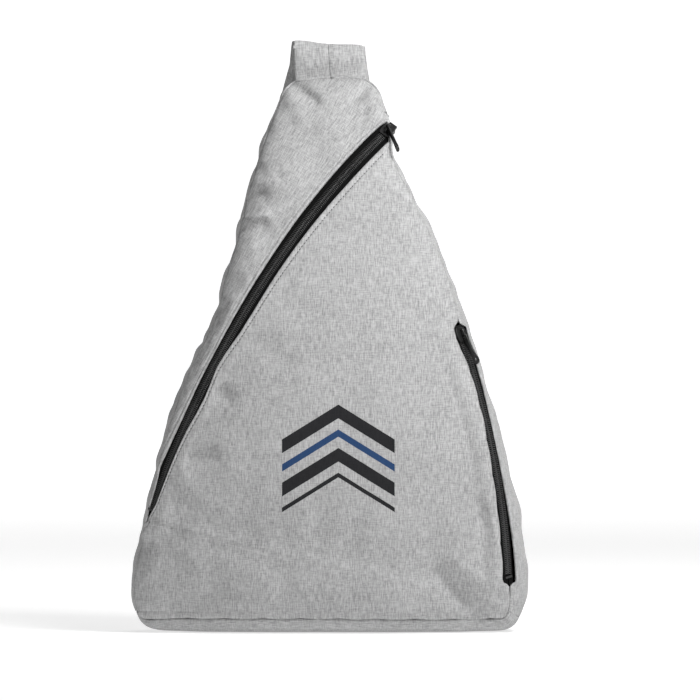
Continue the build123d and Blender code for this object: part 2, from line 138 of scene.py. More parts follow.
# ---- outline of the body
# Edge of the bag seen from the front, clockwise from the lower left: x, z, how far in
# the front seam lies, and the radius of the roll beside it.
EDGE = np.array(
    [
        (-60, 0.0, 10.5, 20), (-118, 0.4, 10, 19), (-138, 2.4, 7.5, 17), (-147.5, 10, 2.4, 15),
        (-151.8, 28, 1.0, 15), (-150.4, 50, 0.7, 15), (-145.6, 70, 0.7, 15), (-141.4, 92, 0.7, 12),
        (-134.3, 118, 0.7, 12), (-128.4, 146, 0.7, 13), (-119.3, 172, 0.7, 15), (-109.4, 199, 0.7, 17),
        (-97.8, 222, 0.7, 17), (-87.4, 245, 0.7, 17), (-82.6, 268, 0.7, 16), (-75.2, 291, 0.7, 15),
        (-69.5, 313, 0.7, 15), (-65.2, 334, 0.7, 15), (-59.0, 355, 0.7, 14), (-52.6, 376, 0.7, 13),
        (-46.0, 395, 0.7, 12), (-40.5, 409, 0.6, 11), (-35.6, 418.6, 0.6, 10), (-28.6, 424.6, 0.6, 10),
        (-15, 427.3, 0.6, 10), (3, 428.0, 0.6, 10), (19, 428.0, 0.6, 10), (29.0, 425.0, 0.6, 10),
        (36.2, 417.8, 0.6, 10), (40.4, 407.5, 0.6, 9), (44.6, 395, 0.7, 8), (46.8, 383, 0.8, 7),
        (46.4, 372, 0.8, 8), (50.0, 360, 0.7, 11), (57.8, 345, 0.7, 13), (65.6, 330, 0.7, 14),
        (79.0, 300, 0.7, 15), (91.6, 270, 0.8, 15), (98.6, 249, 2.6, 15), (105.6, 227, 4.2, 15),
        (117.4, 190, 5.2, 16), (126.4, 159, 7.2, 17), (134.2, 130, 9.0, 18), (140.6, 104, 10.6, 18),
        (146.0, 78, 12, 18), (149.2, 52, 12.5, 18), (148.8, 31, 12, 18), (145.4, 13, 11, 18),
        (136.5, 2.4, 9.5, 18), (119, 0.4, 9.5, 19), (60, 0, 10.0, 20), (0, 0, 10.5, 20),
    ],
    float,
)
# The outline lies a little behind the plane that it was drawn in, so it grows about the
# camera's axis, all but its foot, which stays on the floor.
VIEW = 1.0096
DRAWN_MID = 216.6
raised = np.clip(EDGE[:, 1] / 30, 0, 1)
EDGE[:, 0] = CAMERA_X + (EDGE[:, 0] - CAMERA_X) * VIEW
EDGE[:, 1] += raised * (CAMERA_Z + (EDGE[:, 1] - DRAWN_MID) * VIEW - EDGE[:, 1])


def closed_curve(ctrl, count):
    """Smooth closed curve through the rows of ctrl, evenly spaced on its first two columns."""
    n = len(ctrl)
    t = np.linspace(0, n, n * 24, endpoint=False)
    i = t.astype(int)
    f = (t - i)[:, None]
    p0, p1, p2, p3 = (ctrl[(i + k) % n] for k in (-1, 0, 1, 2))
    spans = ((p1 - p0), (p2 - p1), (p3 - p2))
    d1, d2, d3 = (np.linalg.norm(d[:, :2], axis=1, keepdims=True) for d in spans)
    m1 = (p2 - p0) / (d1 + d2) * d2
    m2 = (p3 - p1) / (d2 + d3) * d2
    q = (
        (2 * f**3 - 3 * f**2 + 1) * p1
        + (f**3 - 2 * f**2 + f) * m1
        + (3 * f**2 - 2 * f**3) * p2
        + (f**3 - f**2) * m2
    )
    closed = np.vstack([q, q[:1]])
    run = run_length(closed[:, :2])
    return along(run, closed, np.linspace(0, run[-1], count, endpoint=False))


LOOP = closed_curve(EDGE, 1400)
ahead, behind = np.roll(LOOP, -1, 0)[:, :2], np.roll(LOOP, 1, 0)[:, :2]
tangent = unit(ahead - behind)
INWARD = np.stack([tangent[:, 1], -tangent[:, 0]], 1)
SEAM = LOOP[:, :2] + INWARD * LOOP[:, 2:3]
# Beside the side zip the seam runs along the zip's line.
ZIP_FOOT, ZIP_HEAD = 22, 250
side_line = side_arc.at(np.linspace(-9, side_arc.length + 9, 200))[0]
on_side = (SEAM[:, 0] > 0) & (SEAM[:, 1] > ZIP_FOOT) & (SEAM[:, 1] < ZIP_HEAD)
pull = np.clip((SEAM[:, 1] - ZIP_FOOT) / 9, 0, 1) * np.clip((ZIP_HEAD - SEAM[:, 1]) / 12, 0, 1) * on_side
want = np.interp(SEAM[:, 1], side_line[::-1, 2], side_line[::-1, 0])
SEAM[:, 0] += pull * (want - SEAM[:, 0])


def seam_index(side, z):
    """Place on the front seam at height z on the left (-1) or the right (+1)."""
    gap = np.abs(SEAM[:, 1] - z) + np.where(SEAM[:, 0] * side < 0, 1e3, 0)
    return int(np.argmin(gap))


# Dents (positive) and ridges (negative) of the stuffed cloth: x0, z0, x1, z1, width, depth.
FOLDS = [
    (-31, 426, -13, 410, 4.4, 5.6), (-36, 417, -22, 396, 5.5, -2.0), (31, 426, 19, 412, 4.2, 5.0),
    (38, 412, 31, 398, 5.0, -1.6), (-12, 418, 12, 420, 6.0, -1.4), (-6, 400, 14, 372, 12.0, -1.0),
    (-62, 384, -50, 388, 4.6, 4.2), (-54, 376, -40, 381, 4.2, -2.0), (-70, 352, -57, 357, 5.0, 4.2),
    (-63, 343, -46, 349, 4.6, -2.2), (-72, 327, -55, 337, 6.5, 8.5), (-72, 318, -50, 322, 3.0, -4.2),
    (-70, 308, -52, 314, 4.4, 4.0), (-80, 289, -60, 298, 6.5, -2.4), (-88, 262, -72, 270, 6.5, 3.4),
    (-88, 248, -101, 223, 7.0, 9.5), (-71, 243, -102, 216, 2.6, -5.0), (-104, 206, -90, 213, 5.0, 3.4),
    (-98, 189, -82, 183, 8.0, 4.0), (-116, 160, -102, 168, 6.0, -2.4), (-108, 133, -92, 137, 7.0, 3.6),
    (-126, 140, -114, 146, 5.5, 3.4), (-128, 118, -112, 116, 7.5, -2.2),
    (-142, 66, -120, 76, 9.0, 2.8), (-140, 44, -104, 50, 9.0, -2.0), (82, 46, 112, 14, 6.5, 5.2),
    (96, 56, 124, 28, 7.0, -2.6), (128, 62, 118, 92, 7.0, 2.0), (-116, 20, -86, 32, 9.0, 2.8),
    (60, 322, 72, 290, 5.5, 2.4), (84, 266, 96, 236, 5.5, 2.4), (-24, 20, 26, 23, 12.0, 1.8),
    (30, 210, 84, 176, 20.0, 1.2), (-60, 96, 10, 60, 22.0, 1.2),
]


def segment_gap(x, z, a, b):
    d = np.array(b, float) - np.array(a, float)
    t = np.clip(((x - a[0]) * d[0] + (z - a[1]) * d[1]) / max(d @ d, 1e-9), 0, 1)
    return np.hypot(x - a[0] - t * d[0], z - a[1] - t * d[1])


def ripple(x, z, size, seed):
    """Smooth aperiodic waviness of about unit height."""
    g = np.random.default_rng(seed)
    out = 0
    for _ in range(7):
        turn, phase = g.uniform(0, 2 * pi, 2)
        k = 2 * pi / (size * g.uniform(0.7, 1.6))
        out = out + np.sin(k * (x * cos(turn) + z * sin(turn)) + phase)
    return out / 3.5


def smooth_step(t):
    t = np.clip(t, 0, 1)
    return t * t * (3 - 2 * t)


def bell(t):
    """Smooth hump of height 1 and half width about 1 round zero."""
    return np.exp(-(t**2))


def main_seat(s):
    """Zip frame on the cloth; towards the lower left the cloth turns round the side."""
    p, tan, across, out = main_arc.at(s)
    turn = (radians(8) * smooth_step((np.asarray(s) - 190) / 150))[..., None]
    return p, tan, across * np.cos(turn) + out * np.sin(turn), out * np.cos(turn) - across * np.sin(turn)


def plane_depth(x, z, frames, k):
    """Depth of the plane through a zip's own frame at the nearest of its samples."""
    p, tan, across, _ = (f[k] for f in frames)
    dx, dz = x - p[..., 0], z - p[..., 2]
    det = tan[..., 0] * across[..., 2] - tan[..., 2] * across[..., 0]
    a = (dx * across[..., 2] - dz * across[..., 0]) / det
    b = (tan[..., 0] * dz - tan[..., 2] * dx) / det
    return p[..., 1] + a * tan[..., 1] + b * across[..., 1]


MAIN_FRAMES = main_seat(np.linspace(-9, main_arc.length + 9, 260))
SIDE_FRAMES = side_arc.at(np.linspace(-9, side_arc.length + 9, 160))


def nearest(x, z, px, pz):
    """Distance to a polyline's samples and the nearest one, in the front view."""
    shape = np.shape(x)
    q = np.stack([np.ravel(x), np.ravel(z)], 1)
    gap, idx = np.empty(len(q)), np.empty(len(q), int)
    for k in range(0, len(q), 4000):
        d = np.hypot(q[k : k + 4000, 0, None] - px, q[k : k + 4000, 1, None] - pz)
        idx[k : k + 4000] = d.argmin(1)
        gap[k : k + 4000] = d.min(1)
    return gap.reshape(shape), idx.reshape(shape)


def front_y(x, z):
    """Depth of the bag's front at a place in the front view."""
    e, k = nearest(x, z, LOOP[:, 0], LOOP[:, 1])
    r = LOOP[k, 3]
    inner = np.clip(r - e, 0, r)
    roll = r - np.sqrt(np.maximum(r * r - inner**2, 0))
    near_zip, kz = nearest(x, z, MAIN_FRAMES[0][:, 0], MAIN_FRAMES[0][:, 2])
    near_side, ks = nearest(x, z, SIDE_FRAMES[0][:, 0], SIDE_FRAMES[0][:, 2])
    loose = smooth_step((near_zip - 5) / 8) * smooth_step((near_side - 4) / 10)
    dent = 0
    for x0, z0, x1, z1, width, depth in FOLDS:
        dent = dent + depth * bell(segment_gap(x, z, (x0, z0), (x1, z1)) / width)
    slack = 0.9 * ripple(x, z, 85, 3) + 0.4 * ripple(x, z, 30, 5)
    y = dome_y(x, z) + roll + loose * (dent + slack)
    hold = 1 - smooth_step((near_zip - 6.5) / 10)
    y = y + hold * (plane_depth(x, z, MAIN_FRAMES, kz) - y)
    hold = (1 - smooth_step((near_side - 6) / 14)) * smooth_step((z - 26) / 10)
    hold = hold * smooth_step((246 - z) / 10)
    return y + hold * (plane_depth(x, z, SIDE_FRAMES, ks) - y)


# ---- mesh helpers
def configure(thing, **values):
    for key, value in values.items():
        setattr(thing, key, value)


def link(name, data):
    obj = bpy.data.objects.new(name, data)
    bpy.context.scene.collection.objects.link(obj)
    return obj


def make_mesh(name, points, faces, uv=None, material=None, smooth=True):
    """Object from points and texture places in mm, which may be grids."""
    mesh = bpy.data.meshes.new(name)
    mesh.from_pydata((np.reshape(points, (-1, 3)) * 0.001).tolist(), [], faces)
    if uv is not None:
        layer = mesh.uv_layers.new(name="UVMap")
        loops = np.empty(len(mesh.loops), int)
        mesh.loops.foreach_get("vertex_index", loops)
        layer.data.foreach_set("uv", (np.reshape(uv, (-1, 2))[loops] * 0.001).astype(np.float32).ravel())
    mesh.polygons.foreach_set("use_smooth", [smooth] * len(mesh.polygons))
    mesh.update()
    if material:
        mesh.materials.append(material)
    return link(name, mesh)


def vertices(mesh):
    co = np.empty(len(mesh.vertices) * 3)
    mesh.vertices.foreach_get("co", co)
    return co.reshape(-1, 3)


def belongs(obj, nodes, body="bag"):
    """The piece stands for these CAD nodes and rides on the body."""
    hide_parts(*nodes)
    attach(obj, body)
    return obj


def grid_faces(n, m, wrap_n=False, wrap_m=False, flip=False):
    i = np.arange(n if wrap_n else n - 1)
    j = np.arange(m if wrap_m else m - 1)
    i, j = np.meshgrid(i, j, indexing="ij")
    a = i * m + j
    b = ((i + 1) % n) * m + j
    c = ((i + 1) % n) * m + (j + 1) % m
    d = i * m + (j + 1) % m
    quads = np.stack([a, b, c, d] if flip else [a, d, c, b], -1).reshape(-1, 4)
    return quads.tolist()


def capped(n, m):
    """Faces of a closed tube of n rings of m points, with flat ends."""
    return grid_faces(n, m, wrap_m=True) + [list(range(m)), list(range((n - 1) * m, n * m))[::-1]]


def on_grid(u, v):
    """Texture places from two arrays that spread over one grid."""
    return np.stack(np.broadcast_arrays(u, v), -1)


def power(t, share):
    """Squared-off sine or cosine."""
    return np.sign(t) * np.abs(t) ** share


def grid_normals(p):
    return unit(np.cross(np.gradient(p, axis=0), np.gradient(p, axis=1)))


def thicken(obj, mm, offset=-1):
    mod = obj.modifiers.new("thickness", "SOLIDIFY")
    configure(mod, thickness=mm * 0.001, offset=offset, use_rim=True)


def soften_edges(obj, mm, segments):
    mod = obj.modifiers.new("soft", "BEVEL")
    configure(mod, width=mm * 0.001, segments=segments, limit_method="ANGLE")


# ---- materials
def node_tree(name):
    mat = bpy.data.materials.new(name)
    mat.use_nodes = True
    tree = mat.node_tree
    return mat, tree, tree.nodes["Principled BSDF"]


def feed(tree, socket, value):
    """Links an input to an output, or sets its value."""
    if isinstance(value, bpy.types.NodeSocket):
        tree.links.new(value, socket)
    elif value is not None:
        socket.default_value = value


def surface(tree, node, **values):
    """Inputs of a node, with _ for a space, or else its settings."""
    for key, value in values.items():
        if key.replace("_", " ") in node.inputs:
            feed(tree, node.inputs[key.replace("_", " ")], value)
        else:
            setattr(node, key, value)


def add(tree, kind, **values):
    node = tree.nodes.new(kind)
    surface(tree, node, **values)
    return node


def calc(tree, op, *values, clamp=False):
    node = add(tree, "ShaderNodeMath", operation=op, use_clamp=clamp)
    for socket, value in zip(node.inputs, values):
        feed(tree, socket, value)
    return node.outputs[0]


def turned(tree, uv, turn):
    return add(tree, "ShaderNodeMapping", Vector=uv, Rotation=(0, 0, turn)).outputs[0]


def stretched_noise(tree, uv, su, sv, detail=2.0, rough=0.5, turn=0.0, seed=0.0):
    start = (seed, seed * 0.7, seed * 1.3)
    place = add(tree, "ShaderNodeMapping", Vector=turned(tree, uv, turn), Scale=(su, sv, 1), Location=start)
    look = {"Scale": 1.0, "Detail": detail, "Roughness": rough}
    return add(tree, "ShaderNodeTexNoise", Vector=place.outputs[0], **look).outputs["Fac"]


def waves(tree, vector, scale, direction, distortion):
    look = {"Scale": scale, "Distortion": distortion, "Detail": 1.0, "bands_direction": direction}
    return add(tree, "ShaderNodeTexWave", Vector=vector, **look).outputs["Fac"]


def ramp(tree, fac, stops):
    node = tree.nodes.new("ShaderNodeValToRGB")
    el = node.color_ramp.elements
    el[0].position, el[0].color = stops[0][0], (*stops[0][1], 1)
    el[1].position, el[1].color = stops[-1][0], (*stops[-1][1], 1)
    for pos, col in stops[1:-1]:
        e = el.new(pos)
        e.color = (*col, 1)
    tree.links.new(fac, node.inputs[0])
    return node.outputs[0]


def mix(tree, fac, color, ink):
    node = add(tree, "ShaderNodeMix", data_type="RGBA")
    for k, value in ((0, fac), (6, color), (7, (*ink, 1))):
        feed(tree, node.inputs[k], value)
    return node.outputs[2]


def bump(tree, height, strength, distance, under=None):
    node = add(tree, "ShaderNodeBump", Strength=strength, Distance=distance, Height=height, Normal=under)
    return node.outputs[0]


def grey(v):
    return (v, v, v * 1.003)


def heather(name, turn=0.0, tone=1.0, emblem=False):
    """Light grey woven cloth of mixed yarn: fine streaks along the warp, fewer across."""
    mat, tree, bsdf = node_tree(name)
    uv = tree.nodes.new("ShaderNodeUVMap").outputs[0]
    warp = stretched_noise(tree, uv, 1250, 120, 3, 0.62, turn, 3.1)
    warp2 = stretched_noise(tree, uv, 2500, 300, 2, 0.5, turn, 9.7)
    weft = stretched_noise(tree, uv, 170, 1350, 2, 0.55, turn, 5.3)
    tint = stretched_noise(tree, uv, 26, 20, 2, 0.5, turn, 1.9)
    streak = calc(tree, "MULTIPLY_ADD", warp2, 0.45, calc(tree, "MULTIPLY", warp, 0.75))
    streak = calc(tree, "MULTIPLY_ADD", weft, 0.45, streak)
    streak = calc(tree, "MULTIPLY_ADD", tint, 0.1, streak)
    lo, mid, hi = (grey(v * tone) for v in (0.25, 0.375, 0.50))
    color = ramp(tree, streak, [(0.68, lo), (0.86, mid), (1.03, hi)])
    if emblem:
        color = print_emblem(tree, uv, color)
    wave_u = waves(tree, turned(tree, uv, turn), 560.0, "X", 1.2)
    wave_v = waves(tree, turned(tree, uv, turn), 520.0, "Y", 1.2)
    weave = calc(tree, "MULTIPLY", wave_u, wave_v)
    fine = bump(tree, weave, 0.35, 0.00025)
    soft = stretched_noise(tree, uv, 140, 120, 3, 0.6, turn, 2.2)
    fine = bump(tree, soft, 0.18, 0.0009, fine)
    fine = bump(tree, warp, 0.3, 0.0003, fine)
    surface(tree, bsdf, Base_Color=color, Normal=fine, Roughness=0.92, Specular_IOR_Level=0.12)
    surface(tree, bsdf, Sheen_Weight=0.06, Sheen_Roughness=0.5)
    return mat


def print_emblem(tree, uv, color):
    """Plain screen print: four nested chevrons, the second one blue."""
    parts = add(tree, "ShaderNodeSeparateXYZ", Vector=uv)
    u = calc(tree, "ABSOLUTE", calc(tree, "SUBTRACT", parts.outputs[0], 0.0055))
    v = calc(tree, "SUBTRACT", parts.outputs[1], 0.1345)
    lean = calc(tree, "MULTIPLY_ADD", u, 0.62, v)
    wear = stretched_noise(tree, uv, 1900, 1900, 2, 0.6, 0, 6.1)
    cover = calc(tree, "MULTIPLY_ADD", wear, -0.05, 1.0)
    inside = calc(tree, "LESS_THAN", u, 0.043)
    dark, blue = (0.010, 0.010, 0.012), (0.014, 0.048, 0.135)
    chevrons = ((0.036, 0.0105, dark), (0.0195, 0.0055, blue), (0.003, 0.0105, dark), (-0.0125, 0.0035, dark))
    for level, thick, ink in chevrons:
        gap = calc(tree, "ABSOLUTE", calc(tree, "SUBTRACT", lean, level))
        band = calc(tree, "MULTIPLY", calc(tree, "LESS_THAN", gap, thick / 2), inside)
        color = mix(tree, calc(tree, "MULTIPLY", band, cover), color, ink)
    return color


def woven_black(name, rib, tone):
    """Black cloth with ribs across its length."""
    mat, tree, bsdf = node_tree(name)
    uv = tree.nodes.new("ShaderNodeUVMap").outputs[0]
    ribs = waves(tree, uv, rib * 0.32, "Y", 0.6)
    cross = waves(tree, uv, rib * 0.5, "X", 0.8)
    fuzz = stretched_noise(tree, uv, 700, 700, 3, 0.6)
    shade = calc(tree, "MULTIPLY_ADD", fuzz, 0.6, calc(tree, "MULTIPLY", ribs, 0.4))
    color = ramp(tree, shade, [(0.2, grey(tone * 0.6)), (0.9, grey(tone * 1.9))])
    relief = bump(tree, cross, 0.3, 0.0002, bump(tree, ribs, 0.7, 0.0004))
    surface(tree, bsdf, Base_Color=color, Normal=relief, Roughness=0.85, Specular_IOR_Level=0.08)
    return mat


def hard_black(name, tone, rough, metal=0.0, grain=900.0, depth=0.00006):
    mat, tree, bsdf = node_tree(name)
    coord = tree.nodes.new("ShaderNodeTexCoord").outputs["Object"]
    spot = stretched_noise(tree, coord, grain, grain, 3, 0.6)
    wear = stretched_noise(tree, coord, 90, 90, 3, 0.6, 0, 4)
    color = ramp(tree, wear, [(0.35, grey(tone)), (0.75, grey(tone * 1.7))])
    shine = calc(tree, "MULTIPLY_ADD", wear, 0.2, rough - 0.1)
    relief = bump(tree, spot, 0.25, depth)
    surface(tree, bsdf, Base_Color=color, Roughness=shine, Normal=relief, Metallic=metal)
    return mat


def thread(name, tone):
    mat, tree, bsdf = node_tree(name)
    coord = tree.nodes.new("ShaderNodeTexCoord").outputs["Object"]
    fuzz = stretched_noise(tree, coord, 1800, 1800, 2, 0.6)
    color = ramp(tree, fuzz, [(0.3, grey(tone * 0.7)), (0.7, grey(tone * 1.2))])
    relief = bump(tree, fuzz, 0.4, 0.0001)
    surface(tree, bsdf, Base_Color=color, Normal=relief, Roughness=0.8, Sheen_Weight=0.2)
    return mat


MAT = {
    "lower": heather("heather_lower", 0.0, emblem=True),
    "upper": heather("heather_upper", radians(28)),
    "side": heather("heather_side"),
    "strap": heather("heather_strap"),
    "tape": woven_black("zip_tape", 1700, 0.0045),
    "coil": hard_black("zip_coil", 0.028, 0.36),
    "metal": hard_black("zip_enamel", 0.010, 0.30, 0.3),
    "buckle": hard_black("buckle_plastic", 0.012, 0.5, 0, 1400, 0.0001),
    "webbing": woven_black("strap_webbing", 900, 0.010),
    "lining": woven_black("lining_cloth", 2400, 0.05),
    "foam": hard_black("foam", 0.12, 0.9, 0, 2500, 0.0004),
    "thread": thread("thread_grey", 0.26),
    # Near-black thread: painted shade of the needle holes along the lower hem and of the strap's seam groove.
    "thread_painted_shade": thread("thread_painted_shade", 0.05),
}


# ---- sewn panels
HEM_ROWS = [0, 0.35, 0.8, 1.4, 2.2, 3.1, 3.7, 4.2, 4.7, 5.3, 5.9, 6.4, 6.9, 7.6, 8.6, 10.0]


def hem_profile(d, fold=1.4, stitch=4.4, groove=0.75, puff=0.45):
    """Height of a folded, stitched hem at a distance from its edge."""
    line = -groove * bell((d - stitch) / 0.8)
    swell = puff * bell((d - stitch * 0.45) / 1.7)
    return seam_profile(d, fold, fold) * 1.25 + line + swell


def seam_profile(d, fold=2.0, depth=1.7):
    """Round edge: the cloth dips by depth where it meets its seam."""
    return -depth * (1 - np.sqrt(np.clip(1 - (1 - np.minimum(d, fold) / fold) ** 2, 0, 1)))


def column_steps(length, rows):
    """Distances from the zip edge for one column: fixed near the hem, then even."""
    near = np.array(HEM_ROWS) * min(1.0, length / (HEM_ROWS[-1] * 2))
    rest = np.linspace(near[-1], length, rows - len(near) + 1)[1:]
    return np.concatenate([near, rest])


def panel(top, bottom, left, right, rows):
    """Front-view grid between four edges, and each point's distance from the top edge.

    The columns start on the top edge, and the rows run along it.
    """
    n = len(top)
    s = np.linspace(0, 1, 400)[:, None]
    left, right = resample(left, 400), resample(right, 400)
    out, dist = np.empty((n, rows, 2)), np.empty((n, rows))
    for i, t in enumerate(np.linspace(0, 1, n)):
        col = (1 - s) * top[i] + s * bottom[i] + (1 - t) * left + t * right
        col -= (1 - t) * ((1 - s) * top[0] + s * bottom[0]) + t * ((1 - s) * top[-1] + s * bottom[-1])
        run = run_length(col)
        dist[i] = column_steps(run[-1], rows)
        out[i] = along(run, col, dist[i])
    return out, dist


def edge_distance(grid, line):
    return nearest(grid[..., 0], grid[..., 1], line[:, 0], line[:, 1])[0]


def clockwise(first, last):
    """Indices round the outline from one to another."""
    if last < first:
        last += len(LOOP)
    return np.arange(first, last + 1) % len(LOOP)


L_BASE, R_BASE = seam_index(-1, 16), seam_index(1, 16)


def edge_room(x, z):
    """Distance inside the bag's outline, and the outline's nearest sample."""
    _, k = nearest(x, z, LOOP[:, 0], LOOP[:, 1])
    return (x - LOOP[k, 0]) * INWARD[k, 0] + (z - LOOP[k, 1]) * INWARD[k, 1], k


# Half width of the gap over the main zip below and above its line, along it in mm.  Low
# down the lower hem swells over the zip and the upper one tapers away at the bag's edge.
SLOT_AT = [-12, 0, 20, 60, 110, 150, 185, 205, 222, 236, 250, 262, 275, 290, 305, 320, 335, 350, 372]
SLOT_LOW = [7.0, 7.0, 6.9, 6.6, 5.6, 5.4, 5.9, 5.5, 3.6, 2.6, 4.0, 4.8, 4.3, 2.8, 2.2, 1.9, 1.9, 1.9, 1.6]
SLOT_UP = [4.6, 6.8, 7.3, 7.0, 6.4, 5.4, 4.9, 4.5, 4.3, 4.3, 4.4, 4.2, 4.0, 4.1, 4.6, 5.3, 6.2, 6.8, 7.0]


def zip_edge(side, count):
    """Edge of the panel beside the main zip from the lower left up to where it meets the seam."""
    s = np.linspace(main_arc.length + 9, -12.0, 1500)
    p, _, across, _ = main_arc.at(s)
    close = 1 - 0.8 * smooth_step((s - main_arc.length + 9) / 10)
    half = np.interp(s, SLOT_AT, SLOT_LOW if side > 0 else SLOT_UP)
    q = (p + across * (side * half * close)[:, None])[:, [0, 2]]
    room, k = edge_room(q[:, 0], q[:, 1])
    inside = room > LOOP[k, 2] + 0.3
    outside = np.flatnonzero(~inside)
    middle = len(s) // 2
    start = max(outside[outside < middle], default=-1) + 1
    stop = min(outside[outside >= middle], default=len(s))
    q = resample(q[start:stop], count)
    ends = [int(np.argmin(np.hypot(*(SEAM - e).T))) for e in (q[0], q[-1])]
    q[0], q[-1] = SEAM[ends[0]], SEAM[ends[1]]
    return q, ends[0], ends[1]


def zip_gap(halves):
    """Half width of a gap over the side zip at a height, closing at both ends."""

    def half_at(z):
        half = np.interp(z, [42, 90, 135, 170, 205, 218, 232], halves)
        return half * smooth_step((z - 36.2) / 2.6) * smooth_step((239.5 - z) / 5)

    return half_at


# The front hem laps further over the zip than the side wall does.
side_gap = zip_gap([4.5, 4.2, 4.2, 4.2, 4.4, 4.9, 4.9])
hem_gap = zip_gap([4.5, 4.0, 3.0, 1.6, 1.8, 3.9, 3.9])


def cloth_grid(xz, lift):
    """Points and normals of a panel from its front-view grid and its height over the form."""
    p = np.stack([xz[..., 0], front_y(xz[..., 0], xz[..., 1]), xz[..., 1]], -1)
    nrm = grid_normals(p)
    nrm *= np.where(nrm[..., 1:2] > 0, -1, 1)
    return p + nrm * lift[..., None], nrm


def softened(d, times):
    """Grid averaged with its neighbours a number of times."""
    for _ in range(times):
        for ax in (0, 1):
            pad = np.concatenate([d.take([0], ax), d, d.take([-1], ax)], ax)
            n = d.shape[ax]
            d = (pad.take(range(n), ax) + 2 * d + pad.take(range(2, n + 2), ax)) / 4
    return d


def settled(P, N, pinned, slack, cap):
    """Lets a sewn panel settle as cloth, held where it is pinned, and keeps its wrinkles."""
    i, j = (np.unique(np.r_[0:count:2, count - 1]) for count in P.shape[:2])
    Q, out, hold = P[np.ix_(i, j)], N[np.ix_(i, j)], pinned[np.ix_(i, j)]
    flip = float((grid_normals(Q) * out).sum()) > 0
    obj = make_mesh("settling", Q, grid_faces(len(i), len(j), flip=flip))
    group = obj.vertex_groups.new(name="pin")
    for k, w in enumerate(hold.ravel()):
        if w > 0.02:
            group.add([k], float(w), "REPLACE")
    cloth = obj.modifiers.new("cloth", "CLOTH")
    configure(cloth.settings, quality=6, mass=0.25, tension_stiffness=14, compression_stiffness=14)
    configure(cloth.settings, shear_stiffness=7, bending_stiffness=0.25, vertex_group_mass="pin")
    configure(cloth.settings, shrink_min=-slack, use_pressure=True, uniform_pressure_force=3.0)
    cloth.settings.effector_weights.gravity = 0
    cloth.point_cache.frame_start, cloth.point_cache.frame_end = 1, 20
    for frame_number in range(1, 21):
        bpy.context.scene.frame_set(frame_number)
    co = vertices(obj.evaluated_get(bpy.context.evaluated_depsgraph_get()).data)
    bpy.data.objects.remove(obj)
    bpy.context.scene.frame_set(1)
    d = ((co.reshape(Q.shape) * 1000 - Q) * out).sum(-1)
    d = softened(d - softened(d, 70), 2)
    d = cap * np.tanh(d / cap) * (1 - hold)
    d = np.stack([np.interp(np.arange(P.shape[1]), j, row) for row in d])
    d = np.stack([np.interp(np.arange(P.shape[0]), i, col) for col in d.T], 1)
    return P + N * softened(d, 3)[..., None]


def held(*edges):
    """Pin weights: 1 at any of the edges (distance, start, end), 0 well inside."""
    return np.max([1 - smooth_step((d - a) / (b - a)) for d, a, b in edges], 0)


COLUMNS = 190
lower_top, L_LOW, R_LOW = zip_edge(1, COLUMNS)
right_run = clockwise(R_LOW, R_BASE)
lower_right = SEAM[right_run] + INWARD[right_run] * hem_gap(SEAM[right_run, 1])[:, None]
lower_bottom = SEAM[clockwise(R_BASE, L_BASE)][::-1]
lower_left = SEAM[clockwise(L_BASE, L_LOW)][::-1]
xz_low, d_low = panel(lower_top, resample(lower_bottom, COLUMNS), lower_left, lower_right, 150)
rim_low = np.vstack([lower_right, lower_bottom, lower_left])
gap_low = edge_distance(xz_low, resample(rim_low, 900))
# The lower hem's row of stitches runs closer to the fold towards the lower left.
STITCH_LOW = np.interp(np.linspace(1, 0, COLUMNS), [0, 0.35, 0.6, 1], [6.4, 6.2, 4.7, 4.3])
STITCH_UP = 4.2
P_low, N_low = cloth_grid(xz_low, hem_profile(d_low, stitch=STITCH_LOW[:, None]) + seam_profile(gap_low))
P_low = settled(P_low, N_low, held((gap_low, 1.5, 9), (d_low, 6.5, 16)), 0.02, 1.8)


def closed_edge(k):
    """An edge with next to no length, at a place on the seam."""
    return SEAM[k] + np.linspace(0, 1e-4, 5)[:, None]


upper_bottom, L_UP, R_UP = zip_edge(-1, COLUMNS)
upper_outer = SEAM[clockwise(L_UP, R_UP)]
outer_rim = resample(upper_outer, COLUMNS)
xz_up, d_up = panel(upper_bottom, outer_rim, closed_edge(L_UP), closed_edge(R_UP), 70)
gap_up = edge_distance(xz_up, resample(upper_outer, 900))
P_up, N_up = cloth_grid(xz_up, hem_profile(d_up, groove=0.5, stitch=STITCH_UP) + seam_profile(gap_up))
P_up = settled(P_up, N_up, held((gap_up, 1.5, 7), (d_up, 5.5, 13)), 0.025, 2.0)


def sewn_cloth(name, P, uv, material, nodes, flip):
    """Panel of the bag's grey cloth, padded from inside."""
    obj = make_mesh(name, P, grid_faces(*P.shape[:2], flip=flip), uv, material)
    thicken(obj, 1.6)
    belongs(obj, nodes)


sewn_cloth("front_lower", P_low, xz_low, MAT["lower"], ["front_lower_panel"], False)
sewn_cloth("front_upper", P_up, xz_up, MAT["upper"], ["front_upper_panel"], True)


# ---- side walls and base
BACK_INSET = 4.0
# How far in the wall lies, as shares of the front and the back seams' insets, at places
# from the front seam (0) to the back one (1).  Low down it turns in sooner.
WALL_AT = [0, 0.05, 0.12, 0.22, 0.45, 0.8, 0.93, 1.0]
FRONT_SHARE = [1, 0.62, 0.34, 0.12, 0, 0, 0, 0]
LOW_FRONT_SHARE = [1, 0.4, 0.1, 0, 0, 0, 0, 0]
BACK_SHARE = [0, 0, 0, 0, 0, 0.16, 0.5, 1.0]


